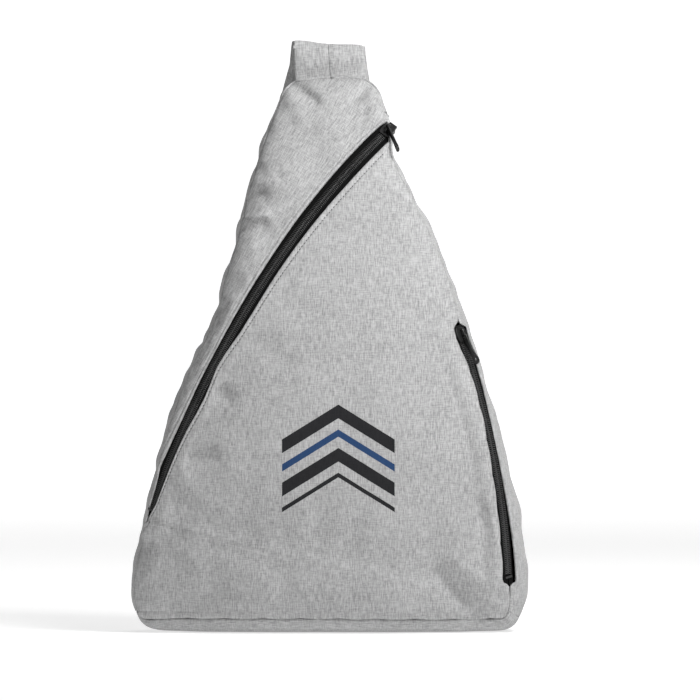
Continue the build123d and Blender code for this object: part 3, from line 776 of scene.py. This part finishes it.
def ring(k, rows, gap):
    """Wall between the front and back seams at indices k of the outline."""
    base, inward = LOOP[k, :2], INWARD[k]
    seam = base + inward * LOOP[k, 2:3]
    inset = LOOP[k, 2] - gap
    front = (front_y(seam[:, 0], seam[:, 1]) + gap * 0.9)[:, None]
    low = smooth_step((16 - base[:, 1]) / 12)[:, None]
    share = np.interp(rows, WALL_AT, FRONT_SHARE)
    share = share + low * (np.interp(rows, WALL_AT, LOW_FRONT_SHARE) - share)
    off = inset[:, None] * share + BACK_INSET * np.interp(rows, WALL_AT, BACK_SHARE)
    y = front + (BACK_Y - front) * rows
    x = base[:, None, 0] + inward[:, None, 0] * off
    z = base[:, None, 1] + inward[:, None, 1] * off
    return np.stack([x, y, z], -1)


def length_across(P):
    """Length along each row of a grid of points."""
    step = np.linalg.norm(np.diff(P, axis=1), axis=-1)
    return np.concatenate([np.zeros((len(P), 1)), np.cumsum(step, 1)], 1)


def wall(name, first, last, nodes, wrinkle, gap_at=None):
    """Cloth wall from one place on the outline clockwise to another."""
    near = np.array([0, 0.004, 0.009, 0.016, 0.03, 0.05, 0.075])
    rows = np.concatenate([near, np.linspace(0.1, 0.92, 26), 1 - near[:-1][::-1]])
    k = clockwise(first, last)[::2]
    P = ring(k, rows, gap_at(SEAM[k, 1]) if gap_at else 0.0)
    nrm = grid_normals(P)
    out = np.stack([-INWARD[k, 0], np.zeros(len(k)), -INWARD[k, 1]], 1)
    nrm *= np.where((nrm * out[:, None]).sum(-1, keepdims=True) < 0, -1, 1)
    depth = length_across(P)
    total = depth[:, -1:]
    s = run_length(P[:, len(rows) // 2])[:, None] + 0 * depth
    body = smooth_step(depth / 14) * smooth_step((total - depth) / 14)
    lift = seam_profile(depth) + seam_profile(total - depth)
    lift = lift + body * wrinkle * (ripple(s, depth, 46, 17) + 0.6 * ripple(s, depth * 0.4, 22, 23))
    P = P + nrm * lift[..., None]
    if wrinkle:
        ends = np.minimum(s, s[-1:] - s)
        P = settled(P, nrm, held((depth, 1, 10), (total - depth, 1, 10), (ends, 0, 12)), 0.02, 2.0)
    sewn_cloth(name, P, on_grid(depth, s), MAT["side"], nodes, True)


TOP_MID = int(np.argmin(np.abs(LOOP[:, 0]) + np.where(LOOP[:, 1] < 300, 1e3, 0)))
wall("gusset_left", L_BASE, TOP_MID, ["left_gusset"], 1.5)
wall("gusset_right", TOP_MID, R_BASE, ["right_gusset", "side_zip_end_tab"], 0.9, side_gap)
wall("base_strip", R_BASE, L_BASE, ["base_panel"], 0.0)

# ---- back panel
BACK_SEAM = LOOP[:, :2] + INWARD * BACK_INSET
BACK_LEFT, BACK_RIGHT = seam_index(-1, 418), seam_index(1, 415)
xz_back, _ = panel(
    resample(BACK_SEAM[clockwise(BACK_LEFT, BACK_RIGHT)], 90),
    resample(BACK_SEAM[clockwise(R_BASE, L_BASE)][::-1], 90),
    BACK_SEAM[clockwise(L_BASE, BACK_LEFT)][::-1],
    BACK_SEAM[clockwise(BACK_RIGHT, R_BASE)],
    110,
)
x_back, z_back = xz_back[..., 0], xz_back[..., 1]
gap_back = edge_distance(xz_back, resample(np.vstack([BACK_SEAM, BACK_SEAM[:1]]), 1200))
puff = 3.0 * smooth_step(gap_back / 26)
quilt = np.minimum(np.abs(x_back * 0.96 + 18), np.abs(x_back * 0.96 - 18))
channel = 1.8 * bell(quilt / 2.2) * smooth_step((gap_back - 6) / 10)
y_back = BACK_Y + seam_profile(gap_back) + puff - channel + 0.3 * ripple(x_back, z_back, 60, 31)
P_back = np.stack([x_back, np.minimum(y_back, 60.0), z_back], -1)
sewn_cloth("back_padded", P_back, xz_back, MAT["side"], ["back_panel"], True)

# ---- zips
TAPE_H = -1.9
PITCH = 1.5


def tuck(P, room=2.8):
    """Turns what would stick out past the bag's outline back round its side."""
    inside, k = edge_room(P[..., 0], P[..., 2])
    over = np.maximum(room - inside, 0)[..., None]
    return P + over * np.stack([INWARD[k, 0], 0 * inside + 1.1, INWARD[k, 1]], -1)


def tape(name, seats, length, side, node, first, last, drop, bend=6.0):
    """Woven tape on one side of a zip; beyond the bend it drops into the bag."""
    s = np.linspace(first, length + last, int(length / 1.6))
    a = side * np.array([0.6, 0.9, 1.6, 2.6, 4.0, 5.0, 6.0, 7.0, 8.0, 9.2, 10.8])
    bead = 0.12 * bell((np.abs(a) - 4.2) / 0.5) - 0.1 * (np.abs(a) < 0.7)
    h = TAPE_H + bead[None, :] + 0.05 * np.sin(s[:, None] / 2.1 + a[None, :])
    h = h - drop * np.maximum(np.abs(a) - bend, 0)[None, :]
    p, _, acr, out = seats(s)
    P = p[:, None] + acr[:, None] * a[:, None] + out[:, None] * h[..., None]
    if seats is main_seat:
        P = tuck(P)
    obj = make_mesh(name, P, grid_faces(*h.shape, flip=side < 0), on_grid(a, s[:, None]), MAT["tape"])
    thicken(obj, 0.7)
    belongs(obj, [node])


def tube(path, radius, sides=6):
    """Vertices and faces of a tube round a line of points."""
    path = np.asarray(path, float)
    n = len(path)
    t = unit(np.gradient(path, axis=0))
    ref = np.array([0.13, 0.21, 0.97])
    u = unit(np.cross(t, np.where(np.abs((t @ ref)[:, None]) > 0.92, np.array([1.0, 0, 0]), ref)))
    for i in range(1, n):
        v = u[i - 1] - t[i] * (u[i - 1] @ t[i])
        u[i] = v / np.linalg.norm(v)
    w = np.cross(t, u)
    a = np.linspace(0, 2 * pi, sides, endpoint=False)[None, :, None]
    r = np.broadcast_to(np.asarray(radius, float).reshape(-1, 1, 1), (n, 1, 1))
    rings = path[:, None] + r * (np.cos(a) * u[:, None] + np.sin(a) * w[:, None])
    return rings.reshape(-1, 3), capped(n, sides)


def merge(chunks):
    """One vertex array and face list from several."""
    verts, faces, base = [], [], 0
    for v, f in chunks:
        verts.append(v)
        faces += [[i + base for i in face] for face in f]
        base += len(v)
    return np.vstack(verts), faces


# One turn of a coil: across, height, place along it in turns, and the wire's radius.  The
# head is at the middle, and two legs run to the tape.
COIL_TURN = np.array(
    [
        (2.9, -1.65, 0.06, 0.30), (1.6, -1.70, 0.04, 0.32), (0.1, -1.60, 0.06, 0.38),
        (-0.5, -1.25, 0.08, 0.44), (0.1, -0.90, 0.10, 0.42), (1.6, -0.80, 0.12, 0.38),
        (2.9, -0.98, 0.20, 0.36), (3.15, -1.35, 0.60, 0.24),
    ]
)


def coil(name, seats, length, side, node):
    turns = int((length + 3) / PITCH)
    half_turn = 0.5 if side > 0 else 0.0
    s = (np.arange(turns)[:, None] + COIL_TURN[None, :, 2] + half_turn) * PITCH - 4.5
    a, h, _, wire = np.tile(COIL_TURN, (turns, 1)).T
    p, _, acr, out = seats(s.ravel())
    path = p + acr * (side * a)[:, None] + out * h[:, None]
    belongs(make_mesh(name, *tube(path, wire, 5), None, MAT["coil"]), [node])


def seat_frame(seats, s):
    return [v[0] for v in seats(np.array([s]))]


MAIN, SIDE = (main_seat, main_arc.length), (side_arc.at, side_arc.length)
tape("main_tape_lower", *MAIN, 1, "main_zip_tape_lower", -5, 5, 0.35)
tape("main_tape_upper", *MAIN, -1, "main_zip_tape_upper", -5, 5, 0.35)
coil("main_coil_lower", *MAIN, 1, "main_zip_coil_lower")
coil("main_coil_upper", *MAIN, -1, "main_zip_coil_upper")
tape("side_tape_front", *SIDE, -1, "side_zip_tape_front", -8, 7, 0.6)
tape("side_tape_rear", *SIDE, 1, "side_zip_tape_rear", -8, 7, 1.1, 4.2)
coil("side_coil_front", *SIDE, -1, "side_zip_coil_front")
coil("side_coil_rear", *SIDE, 1, "side_zip_coil_rear")


def flat_outline(outline, holes, half, bevel, x, y, z, origin):
    """Flat piece with rounded edges from its outline, in the frame x, y, z at origin."""
    data = bpy.data.curves.new("outline", "CURVE")
    configure(data, dimensions="2D", fill_mode="BOTH", extrude=half - bevel, bevel_depth=bevel)
    configure(data, bevel_resolution=2, resolution_u=6)
    for loop in [outline, *holes]:
        spline = data.splines.new("POLY")
        spline.points.add(len(loop) - 1)
        for pt, (u, v) in zip(spline.points, loop):
            pt.co = (u, v, 0, 1)
        spline.use_cyclic_u = True
    obj = link("outline", data)
    bpy.context.view_layer.update()
    made = bpy.data.meshes.new_from_object(obj.evaluated_get(bpy.context.evaluated_depsgraph_get()))
    bpy.data.objects.remove(obj)
    co = vertices(made)
    faces = [list(p.vertices) for p in made.polygons]
    bpy.data.meshes.remove(made)
    return origin + co[:, :1] * x + co[:, 1:2] * y + co[:, 2:] * z, faces


def rounded(points, radius, steps=4):
    """Outline with its corners rounded."""
    out = []
    n = len(points)
    for i in range(n):
        p = np.array(points[i], float)
        a = np.array(points[i - 1], float) - p
        b = np.array(points[(i + 1) % n], float) - p
        r = min(radius, np.linalg.norm(a) * 0.45, np.linalg.norm(b) * 0.45)
        a, b = p + unit(a) * r, p + unit(b) * r
        for t in np.linspace(0, 1, steps):
            out.append((1 - t) ** 2 * a + 2 * t * (1 - t) * p + t * t * b)
    return [tuple(v) for v in out]


def box(lo, hi, x, y, z, origin, r=0.25):
    """Box with chamfered edges in a given frame."""
    lo, hi = np.array(lo, float), np.array(hi, float)
    c, h = (lo + hi) / 2, (hi - lo) / 2
    r = min(r, *(h * 0.8))
    bm = bmesh.new()
    for corner in product((-1, 1), repeat=3):
        for ax in range(3):
            v = np.array(corner) * (h - r)
            v[ax] = corner[ax] * h[ax]
            bm.verts.new(c + v)
    bmesh.ops.convex_hull(bm, input=bm.verts)
    bm.verts.index_update()
    bmesh.ops.dissolve_limit(bm, angle_limit=0.01, verts=bm.verts, edges=bm.edges)
    bm.verts.index_update()
    co = np.array([v.co for v in bm.verts])
    faces = [[v.index for v in f.verts] for f in bm.faces]
    bm.free()
    return origin + co[:, :1] * x + co[:, 1:2] * y + co[:, 2:] * z, faces


def slider(name, seats, node, body):
    """Two plates with lips joined by a post, and the bridge that the puller hangs on."""
    origin, x, y, z = seat_frame(seats, 0.0)
    half = [(-5.5, -3.2), (-4.2, -4.5), (0.5, -4.6), (5.5, -3.6)]
    shoulder = rounded(half + [(u, -v) for u, v in half[::-1]], 1.4)
    chunks = [
        flat_outline(shoulder, [], 0.55, 0.3, x, y, z, origin + z * 0.1),
        flat_outline(shoulder, [], 0.5, 0.3, x, y, z, origin - z * 3.4),
    ]
    for side in (-1, 1):
        lip = [(-3.4, 3.75), (3.8, 3.5), (3.8, 4.15), (0.4, 4.6), (-3.4, 4.5)]
        lip = rounded([(u, side * v) for u, v in lip], 0.3)
        chunks.append(flat_outline(lip, [], 0.8, 0.2, x, y, z, origin - z * 1.1))
    chunks.append(box((-4.6, -0.5, -3.2), (-1.6, 0.5, 0.2), x, y, z, origin))
    a = np.linspace(0, pi, 25)[:, None]
    rise = 0.3 + 3.35 * np.sqrt(np.clip(np.sin(a), 0, 1))
    rise[[0, -1]] = 0.3
    path = origin - x * 3.5 * power(np.cos(a), 0.42) + z * rise
    nrm = np.cross(unit(np.gradient(path, axis=0)), y)
    bar = rounded([(-0.85, -0.45), (0.85, -0.45), (0.85, 0.45), (-0.85, 0.45)], 0.3, 3)
    bar = np.array(bar)[None]
    swept = path[:, None] + bar[..., :1] * y + bar[..., 1:] * nrm[:, None]
    chunks.append((swept.reshape(-1, 3), grid_faces(*swept.shape[:2], wrap_m=True)))
    obj = make_mesh(name, *merge(chunks), None, MAT["metal"], smooth=False)
    soften_edges(obj, 0.12, 2)
    belongs(obj, [node], body)


def puller(name, origin, x, z, node, body):
    """Flat tab with an eye at the origin, running along x, with a ribbed grip."""
    y = np.cross(z, x)
    turn = np.linspace(0, 2 * pi, 25)[:-1]
    eye_end = [(2.9 * cos(t), 2.9 * sin(t)) for t in np.linspace(pi * 0.5, pi * 1.5, 13)]
    edge = [(4.5, -2.5), (11, -2.1), (17.5, -2.4), (19.5, -2.9), (21.6, -2.8), (22.8, -1.6)]
    edge = eye_end + edge + [(23.0, 0)] + [(u, -v) for u, v in edge[::-1]]
    eye = [(1.75 * cos(t), 1.75 * sin(t)) for t in turn]
    slot = [(19.2 + 1.5 * cos(t), 1.3 * sin(t)) for t in turn]
    chunks = [flat_outline(rounded(edge, 0.8, 3), [eye, slot], 0.72, 0.28, x, y, z, origin)]
    for k, side in product(np.linspace(7.5, 15.5, 6), (-1, 1)):
        rib = [origin + z * (side * 0.62) + x * k + y * w for w in np.linspace(-1.35, 1.35, 7)]
        chunks.append(tube(rib, [0.05, 0.22, 0.26, 0.27, 0.26, 0.22, 0.05], 6))
    belongs(make_mesh(name, *merge(chunks), None, MAT["metal"]), [node], body)


slider("main_slider_body", main_arc.at, "main_zip_slider", "main_slider")
slider("side_slider_body", side_arc.at, "side_zip_slider", "side_slider")

o, x, y, z = seat_frame(main_arc.at, 0.0)
lie = radians(30)
fall, face = x * sin(lie) + y * cos(lie), x * cos(lie) - y * sin(lie)
puller("main_puller_tab", o + z * 3.65, fall, face, "main_zip_puller", "main_puller")
o, x, y, z = seat_frame(side_arc.at, 0.0)
fall = x * cos(radians(12)) + z * sin(radians(12))
puller("side_puller_tab", o + x * 3.4 + z * 2.25, fall, y, "side_zip_puller", "side_puller")


def repaint(node, material):
    """New material on a CAD node that shows as it is."""
    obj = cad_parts[node]
    obj.data.materials.clear()
    obj.data.materials.append(material)
    return obj


for node in ("main_zip_top_stop", "main_zip_bottom_stop", "side_zip_top_stop", "side_zip_bottom_stop"):
    repaint(node, MAT["metal"])


# ---- stitches
def stitch_row(points, normals, pitch, length, radius, sink=0.05):
    """Stitches along a line: each rises from the cloth and dips into it at both ends."""
    run = run_length(points)
    chunks = []
    for k in range(int(run[-1] / pitch)):
        s = (k + 0.15) * pitch + np.linspace(0, length, 5)
        rise = radius * np.array([-1.3, 0.35, 0.6, 0.35, -1.3]) - sink
        path = along(run, points, s) + along(run, normals, s) * rise[:, None]
        chunks.append(tube(path, radius * np.array([0.6, 1, 1.05, 1, 0.6]), 5))
    return merge(chunks)


def hem_line(P, N, dist, at, skip):
    """Points and normals across a panel at a distance from its first edge."""
    at = np.broadcast_to(at, len(P))
    pts, nrm = (np.array([along(dist[i], A[i], at[i : i + 1])[0] for i in range(len(P))]) for A in (P, N))
    return pts[skip:-skip], unit(nrm)[skip:-skip]


def put_stitches(name, chunks, material):
    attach(make_mesh(name, *merge(chunks), None, material), "bag")


# The lower hem's stitches take the near-black thread: painted shade in their needle holes.
row = stitch_row(*hem_line(P_low, N_low, d_low, STITCH_LOW, 3), 2.9, 1.5, 0.34, 0.02)
put_stitches("stitches_lower_hem", [row], MAT["thread_painted_shade"])
row = stitch_row(*hem_line(P_up, N_up, d_up, STITCH_UP, 6), 2.9, 2.1, 0.24)
put_stitches("stitches_upper_hem", [row], MAT["thread"])

# ---- strap
# The strap lies in the plane of ALONG and +Y: ALONG runs down it, and WIDE across it.
STRAP_TOP = np.array([-2.0, 0.0, 446.0])
STRAP_FOOT = np.array([-116.0, 0.0, 34.0])
ALONG = unit(STRAP_FOOT - STRAP_TOP)
WIDE = np.array([-ALONG[2], 0.0, ALONG[0]])
ARC_C = np.array([195.8, -201.0])
ARC_R = 320.0


def strap_point(s, y):
    return STRAP_TOP + ALONG * s + BACKWARD * y


def strap_arc(deg, lift=0.0):
    t = radians(deg)
    return strap_point(ARC_C[0] + (ARC_R + lift) * cos(t), ARC_C[1] + (ARC_R + lift) * sin(t))


def loft(path, wide, normal, half_w, half_t, profile):
    """Closed band: the profile gives across and height (-1..1) round the section."""
    return (
        path[:, None]
        + wide[:, None] * (profile[None, :, :1] * half_w[:, None, None])
        + normal[:, None] * (profile[None, :, 1:] * half_t[:, None, None])
    )


def band_profile(count, seam=True):
    """Padded strap section: thin sewn edges, full middle, a groove at the centre seam."""
    spread = np.linspace(-1, 1, count // 2)
    x = 0.45 * spread**3 + 0.55 * spread
    x = np.concatenate([x, x[::-1][1:-1]])
    up = np.where(np.arange(len(x)) < count // 2, 1, -1)
    y = up * np.sqrt(np.clip(1 - np.abs(x) ** 3.2, 0, 1)) ** 1.2
    if seam:
        y = y * (1 - 0.16 * bell(x / 0.022))
    return np.stack([x, y], 1)[::-1]


def open_curve(ctrl, count):
    """Smooth curve through the rows of ctrl, even on its first three columns, and its run."""
    n = len(ctrl)
    t = np.linspace(0, n - 1 - 1e-9, n * 30)
    i = t.astype(int)
    f = (t - i)[:, None]
    p0, p1, p2, p3 = (ctrl[np.clip(i + k, 0, n - 1)] for k in (-1, 0, 1, 2))
    q = 0.5 * (
        2 * p1 + (p2 - p0) * f + (2 * p0 - 5 * p1 + 4 * p2 - p3) * f**2 + (3 * p1 - p0 - 3 * p2 + p3) * f**3
    )
    run = run_length(q[:, :3])
    want = np.linspace(0, run[-1], count)
    return along(run, q, want), want


# Along the strap: a place, its turn from the top seam's line (0) to WIDE (1), half its
# width and half its thickness.  It rises inside the bag's top, folds over and arcs down.
keys = [
    (0.6, 50.0, 414.0, 0.0, 29.8, 1.9),
    (0.2, 50.2, 424.0, 0.0, 29.6, 2.6),
    (-0.8, 50.0, 434.0, 0.0, 29.0, 3.0),
    (-1.6, 50.2, 443.5, 0.01, 28.6, 2.8),
    (-2.0, 51.0, 450.4, 0.04, 28.4, 2.4),
    (-2.4, 54.2, 454.0, 0.14, 28.3, 2.4),
    (-3.4, 58.6, 451.4, 0.5, 28.3, 3.0),
    (*strap_arc(125.0, 2.0), 0.9, 28.5, 3.8),
    (*strap_arc(123.0), 1.0, 28.5, 4.3),
    *[(*strap_arc(deg), 1.0, 28.5, 4.5) for deg in np.linspace(120, 84.0, 14)],
]
spine, run = open_curve(np.array(keys), 330)
path, twist, half_w = spine[:, :3], spine[:, 3:4], spine[:, 4]
half_t = spine[:, 5] * (0.35 + 0.65 * smooth_step((run[-1] - run) / 9))
wide = unit((1 - twist) * np.array([1.0, 0, 0]) + twist * WIDE)
tan = unit(np.gradient(path, axis=0))
wide = unit(wide - tan * (wide * tan).sum(1, keepdims=True))
nrm = np.cross(tan, wide)
prof = band_profile(92)
P = loft(path, wide, nrm, half_w, half_t, prof)
# Wrinkles across the fold, and puckers beside the centre seam.
across = prof[None, :, 0] * half_w[:, None]
down = np.broadcast_to(run[:, None], across.shape)
crease = -1.1 * bell((down - 20 + across * 0.03) / 4.5) + 0.6 * bell((down - 29) / 3.5)
pucker = 0.28 * np.sin(down / 2.9 + 1.5 * np.sin(down / 11.0)) * bell((np.abs(across) - 2.5) / 4.0)
relief = crease + pucker + 0.35 * ripple(down, across, 26, 41)
outward = unit(wide[:, None] * prof[None, :, :1] * 0.15 + nrm[:, None] * prof[None, :, 1:])
P = P + outward * (relief * np.abs(prof[None, :, 1]) ** 0.5)[..., None]
strap = make_mesh("strap_padded", P, capped(*P.shape[:2]), on_grid(across, down), MAT["strap"])
belongs(strap, ["strap_cover"])

rows, seam_shade_lines = [], []
for sign in (1, -1):
    wrong_side = (np.sign(prof[:, 1]) != sign) * 9
    beside = int(np.argmin(np.abs(prof[:, 0] - 0.11) + wrong_side))
    middle = int(np.argmin(np.abs(prof[:, 0]) + wrong_side))
    rows.append(stitch_row(P[4:-8, beside], outward[4:-8, beside], 3.0, 2.0, 0.22, 0.04))
    # A near-black tube sunk along each centre seam is painted shade in the seam's groove.
    seam_shade_lines.append(tube(P[4:-8, middle] - outward[4:-8, middle] * 0.12, 0.26, 6))
put_stitches("strap_seam_painted_shade", seam_shade_lines, MAT["thread_painted_shade"])
put_stitches("stitches_strap", rows, MAT["thread"])

# ---- webbing and buckle
SLOPE = radians(19)
LINE_DIR = ALONG * cos(SLOPE) - np.array([0, sin(SLOPE), 0])
LINE_OUT = ALONG * sin(SLOPE) + np.array([0, cos(SLOPE), 0])
LINE_START = strap_point(300.0, 101.5)


def on_line(x, h=0.0):
    return LINE_START + LINE_DIR * x + LINE_OUT * h


def webbing(name, pts, nodes, half=15.0, thick=1.6, sides=28):
    """Flat woven strap through a list of points, and its length."""
    pts, s = open_curve(np.array(pts), max(60, len(pts) * 14))
    t = unit(np.gradient(pts, axis=0))
    nrm = unit(np.cross(t, np.broadcast_to(WIDE, t.shape)))
    a = np.linspace(0, 2 * pi, sides, endpoint=False)
    px = power(np.cos(a), 0.25) * half
    py = power(np.sin(a), 0.5) * thick / 2
    P = pts[:, None] + WIDE * px[None, :, None] + nrm[:, None] * py[None, :, None]
    obj = make_mesh(name, P, capped(*P.shape[:2]), on_grid(px, s[:, None]), MAT["webbing"])
    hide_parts(*nodes)
    return obj, s[-1]


HIGH = 2.95  # radius of the webbing's turn round a buckle's bar
pts = [strap_arc(d, HIGH) for d in (88, 85, 82, 79, 76, 73)]
pts += [on_line(x, HIGH) for x in (0, 6, 13, 18)]
pts += [on_line(20 + HIGH * sin(t), HIGH * cos(t)) for t in np.linspace(0.35, pi - 0.3, 7)]
pts += [on_line(17, -2.4), on_line(12, -0.6), on_line(6, 1.15), on_line(-2, 1.3), on_line(-14, 2.2)]
web, web_len = webbing("webbing_upper", pts, ["strap_webbing"])
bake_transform(web)

bar = 94.0
tab = [strap_point(424, 60.6), strap_point(414, 60.9), strap_point(405, 62.3), strap_point(398, 67.6)]
tab += [on_line(bar - HIGH * sin(t), HIGH * cos(t)) for t in np.linspace(-0.9, pi - 0.9, 9)]
tab += [strap_point(402, 61.8), strap_point(410, 59.8), strap_point(421, 59.4)]
anchor_tab, tab_len = webbing("webbing_anchor", tab, ["strap_anchor_tab"])
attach(anchor_tab, "bag")

for node in ("buckle_plug", "buckle_socket"):
    soften_edges(repaint(node, MAT["buckle"]), 0.5, 3)

# ---- inner pieces
def shrunk(share_x, share_z, y, wave, seed):
    """The back's outline drawn in towards its middle, as a grid at one depth."""
    x = xz_back[::2, ::2, 0] * share_x
    z = 205 + (xz_back[::2, ::2, 1] - 205) * share_z
    depth = y + wave * ripple(x, z, 55, seed)
    return np.stack([x, depth, z], -1)


def inner_panel(name, P, material, thick, node):
    obj = make_mesh(name, P, grid_faces(*P.shape[:2], flip=True), P[..., [0, 2]], MAT[material])
    thicken(obj, thick, 0)
    return belongs(obj, [node])


lining_grid = shrunk(0.88, 0.93, 45.2, 0.35, 51)
lining = inner_panel("back_lining_cloth", lining_grid, "lining", 0.5, "back_lining")
padding = inner_panel("back_foam", shrunk(0.86, 0.92, 50.0, 0.0, 1), "foam", 7.0, "back_padding")

# Tape folded over the back seam's allowance: its section is inward and backward.
k = np.arange(0, len(LOOP), 4)
inward = np.stack([INWARD[k, 0], 0 * k, INWARD[k, 1]], 1)
allowance = np.stack([LOOP[k, 0], 0 * k + 49.5, LOOP[k, 1]], 1) + inward * 6.5
upper_lap = [(-2.2, 1.9), (0.6, 2.1), (2.3, 1.2), (2.6, 0)]
lap = np.array([*upper_lap, (2.3, -1.2), (0.6, -2.1), (-2.2, -1.9), (-2.5, 0)])
bound = allowance[:, None] + inward[:, None] * lap[None, :, :1] + BACKWARD * lap[None, :, 1:]
uv = on_grid(lap[:, 0], np.arange(len(k))[:, None] * 1.1)
binding = make_mesh("back_binding", bound, grid_faces(len(k), len(lap), True, True), uv, MAT["tape"])
belongs(binding, ["back_seam_binding"])

# Flat pouch behind the side zip.
a = np.linspace(0, 2 * pi, 48, endpoint=False)[None]
tall = np.linspace(-1, 1, 40)[:, None]
swell = 1 - np.abs(tall) ** 6
wide_share, deep_share = power(np.cos(a), 0.4), power(np.sin(a), 0.7)
x = 50 + 43 * wide_share * (0.93 + 0.07 * swell)
y = -33.5 + 4.3 * deep_share * (0.12 + 0.88 * swell) + 0.5 * np.sin(tall * 7 + wide_share * 3)
P_pouch = np.stack([x, y, 130 + 64 * tall + 0 * a], -1)
pouch = make_mesh("side_pouch", P_pouch, capped(*x.shape), on_grid(a * 28, tall * 64), MAT["lining"])
belongs(pouch, ["side_pocket"])

mid = slice(60, -8, 3)
core = band_profile(32, seam=False)
P_foam = loft(path[mid], wide[mid], nrm[mid], half_w[mid] - 3.2, half_t[mid] * 0.62, core)
uv = np.zeros((*P_foam.shape[:2], 2))
foam = make_mesh("strap_foam_core", P_foam, capped(*P_foam.shape[:2]), uv, MAT["foam"])
belongs(foam, ["strap_foam"])

# Patch under the webbing's end: a rounded cloth square sewn round its edge.
HALF_LONG, HALF_WIDE = 12, 19
pu, pv = np.meshgrid(np.linspace(-1, 1, 22), np.linspace(-1, 1, 32), indexing="ij")
edge = np.minimum(HALF_LONG * (1 - np.abs(pu)), HALF_WIDE * (1 - np.abs(pv)))
height = 59.6 + 0.9 * np.sqrt(np.clip(edge / 2.5, 0, 1)) - 0.5 * bell((edge - 3) / 0.7)
P_patch = strap_point(411.6, 0.0) + ALONG * (pu * HALF_LONG)[..., None] + WIDE * (pv * HALF_WIDE)[..., None]
P_patch = P_patch + BACKWARD * height[..., None]
uv = on_grid(pv * HALF_WIDE, pu * HALF_LONG)
patch = make_mesh("anchor_patch", P_patch, grid_faces(22, 32, flip=True), uv, MAT["side"])
thicken(patch, 1.0)
belongs(patch, ["strap_anchor_patch"])

# ---- floor, light, camera
# Pale paper that sweeps up far behind.  Its own faint glow, stronger further back, keeps
# it near white.
floor_mat, tree, bsdf = node_tree("floor_paper")
place = add(tree, "ShaderNodeTexCoord").outputs["Object"]
behind = add(tree, "ShaderNodeSeparateXYZ", Vector=place).outputs["Y"]
near = calc(tree, "MULTIPLY_ADD", behind, 1.1, 2.2, clamp=True)
far = calc(tree, "MULTIPLY_ADD", behind, 0.2, 0.0, clamp=True)
glow = calc(tree, "MULTIPLY_ADD", far, 0.26, calc(tree, "MULTIPLY_ADD", near, 0.46, 0.10))
surface(tree, bsdf, Base_Color=(0.6, 0.6, 0.6, 1), Roughness=0.9)
surface(tree, bsdf, Emission_Color=(1, 1, 1, 1), Emission_Strength=glow)
bend = np.linspace(0, pi / 2, 24)
sweep = [(-9000, -0.6), *[(6200 + 900 * sin(t), 899.4 - 900 * cos(t)) for t in bend], (7100, 6000)]
paper = [[(x, y, z) for x in (-9000, 9000)] for y, z in sweep]
make_mesh("floor", paper, grid_faces(len(sweep), 2), None, floor_mat)

world = bpy.data.worlds.new("studio")
bpy.context.scene.world = world
world.use_nodes = True
surface(world.node_tree, world.node_tree.nodes["Background"], Color=(1.0, 1.0, 1.0, 1), Strength=0.14)
bpy.context.scene.view_settings.view_transform = "Standard"


def area_light(name, place, target, size, power):
    data = bpy.data.lights.new(name, "AREA")
    configure(data, shape="RECTANGLE", size=size[0], size_y=size[1], energy=power)
    obj = link(name, data)
    obj.location = place
    obj.rotation_euler = (Vector(target) - Vector(place)).to_track_quat("-Z", "Y").to_euler()


area_light("key", (0.5, -0.62, 1.0), (0, 0, 0.3), (0.4, 0.4), 14.5)
area_light("left", (-1.7, -1.0, 0.9), (0, 0, 0.2), (0.8, 0.8), 0.8)
area_light("rim", (0.3, 1.3, 1.4), (0, 0, 0.3), (1.2, 0.8), 8)

camera = link("camera", bpy.data.cameras.new("camera"))
configure(camera.data, lens=346.0, sensor_width=36.0, clip_end=20)
camera.location = (CAMERA_X / 1000, -5.2, CAMERA_Z / 1000)
camera.rotation_euler = (radians(90), 0, 0)
bpy.context.scene.camera = camera
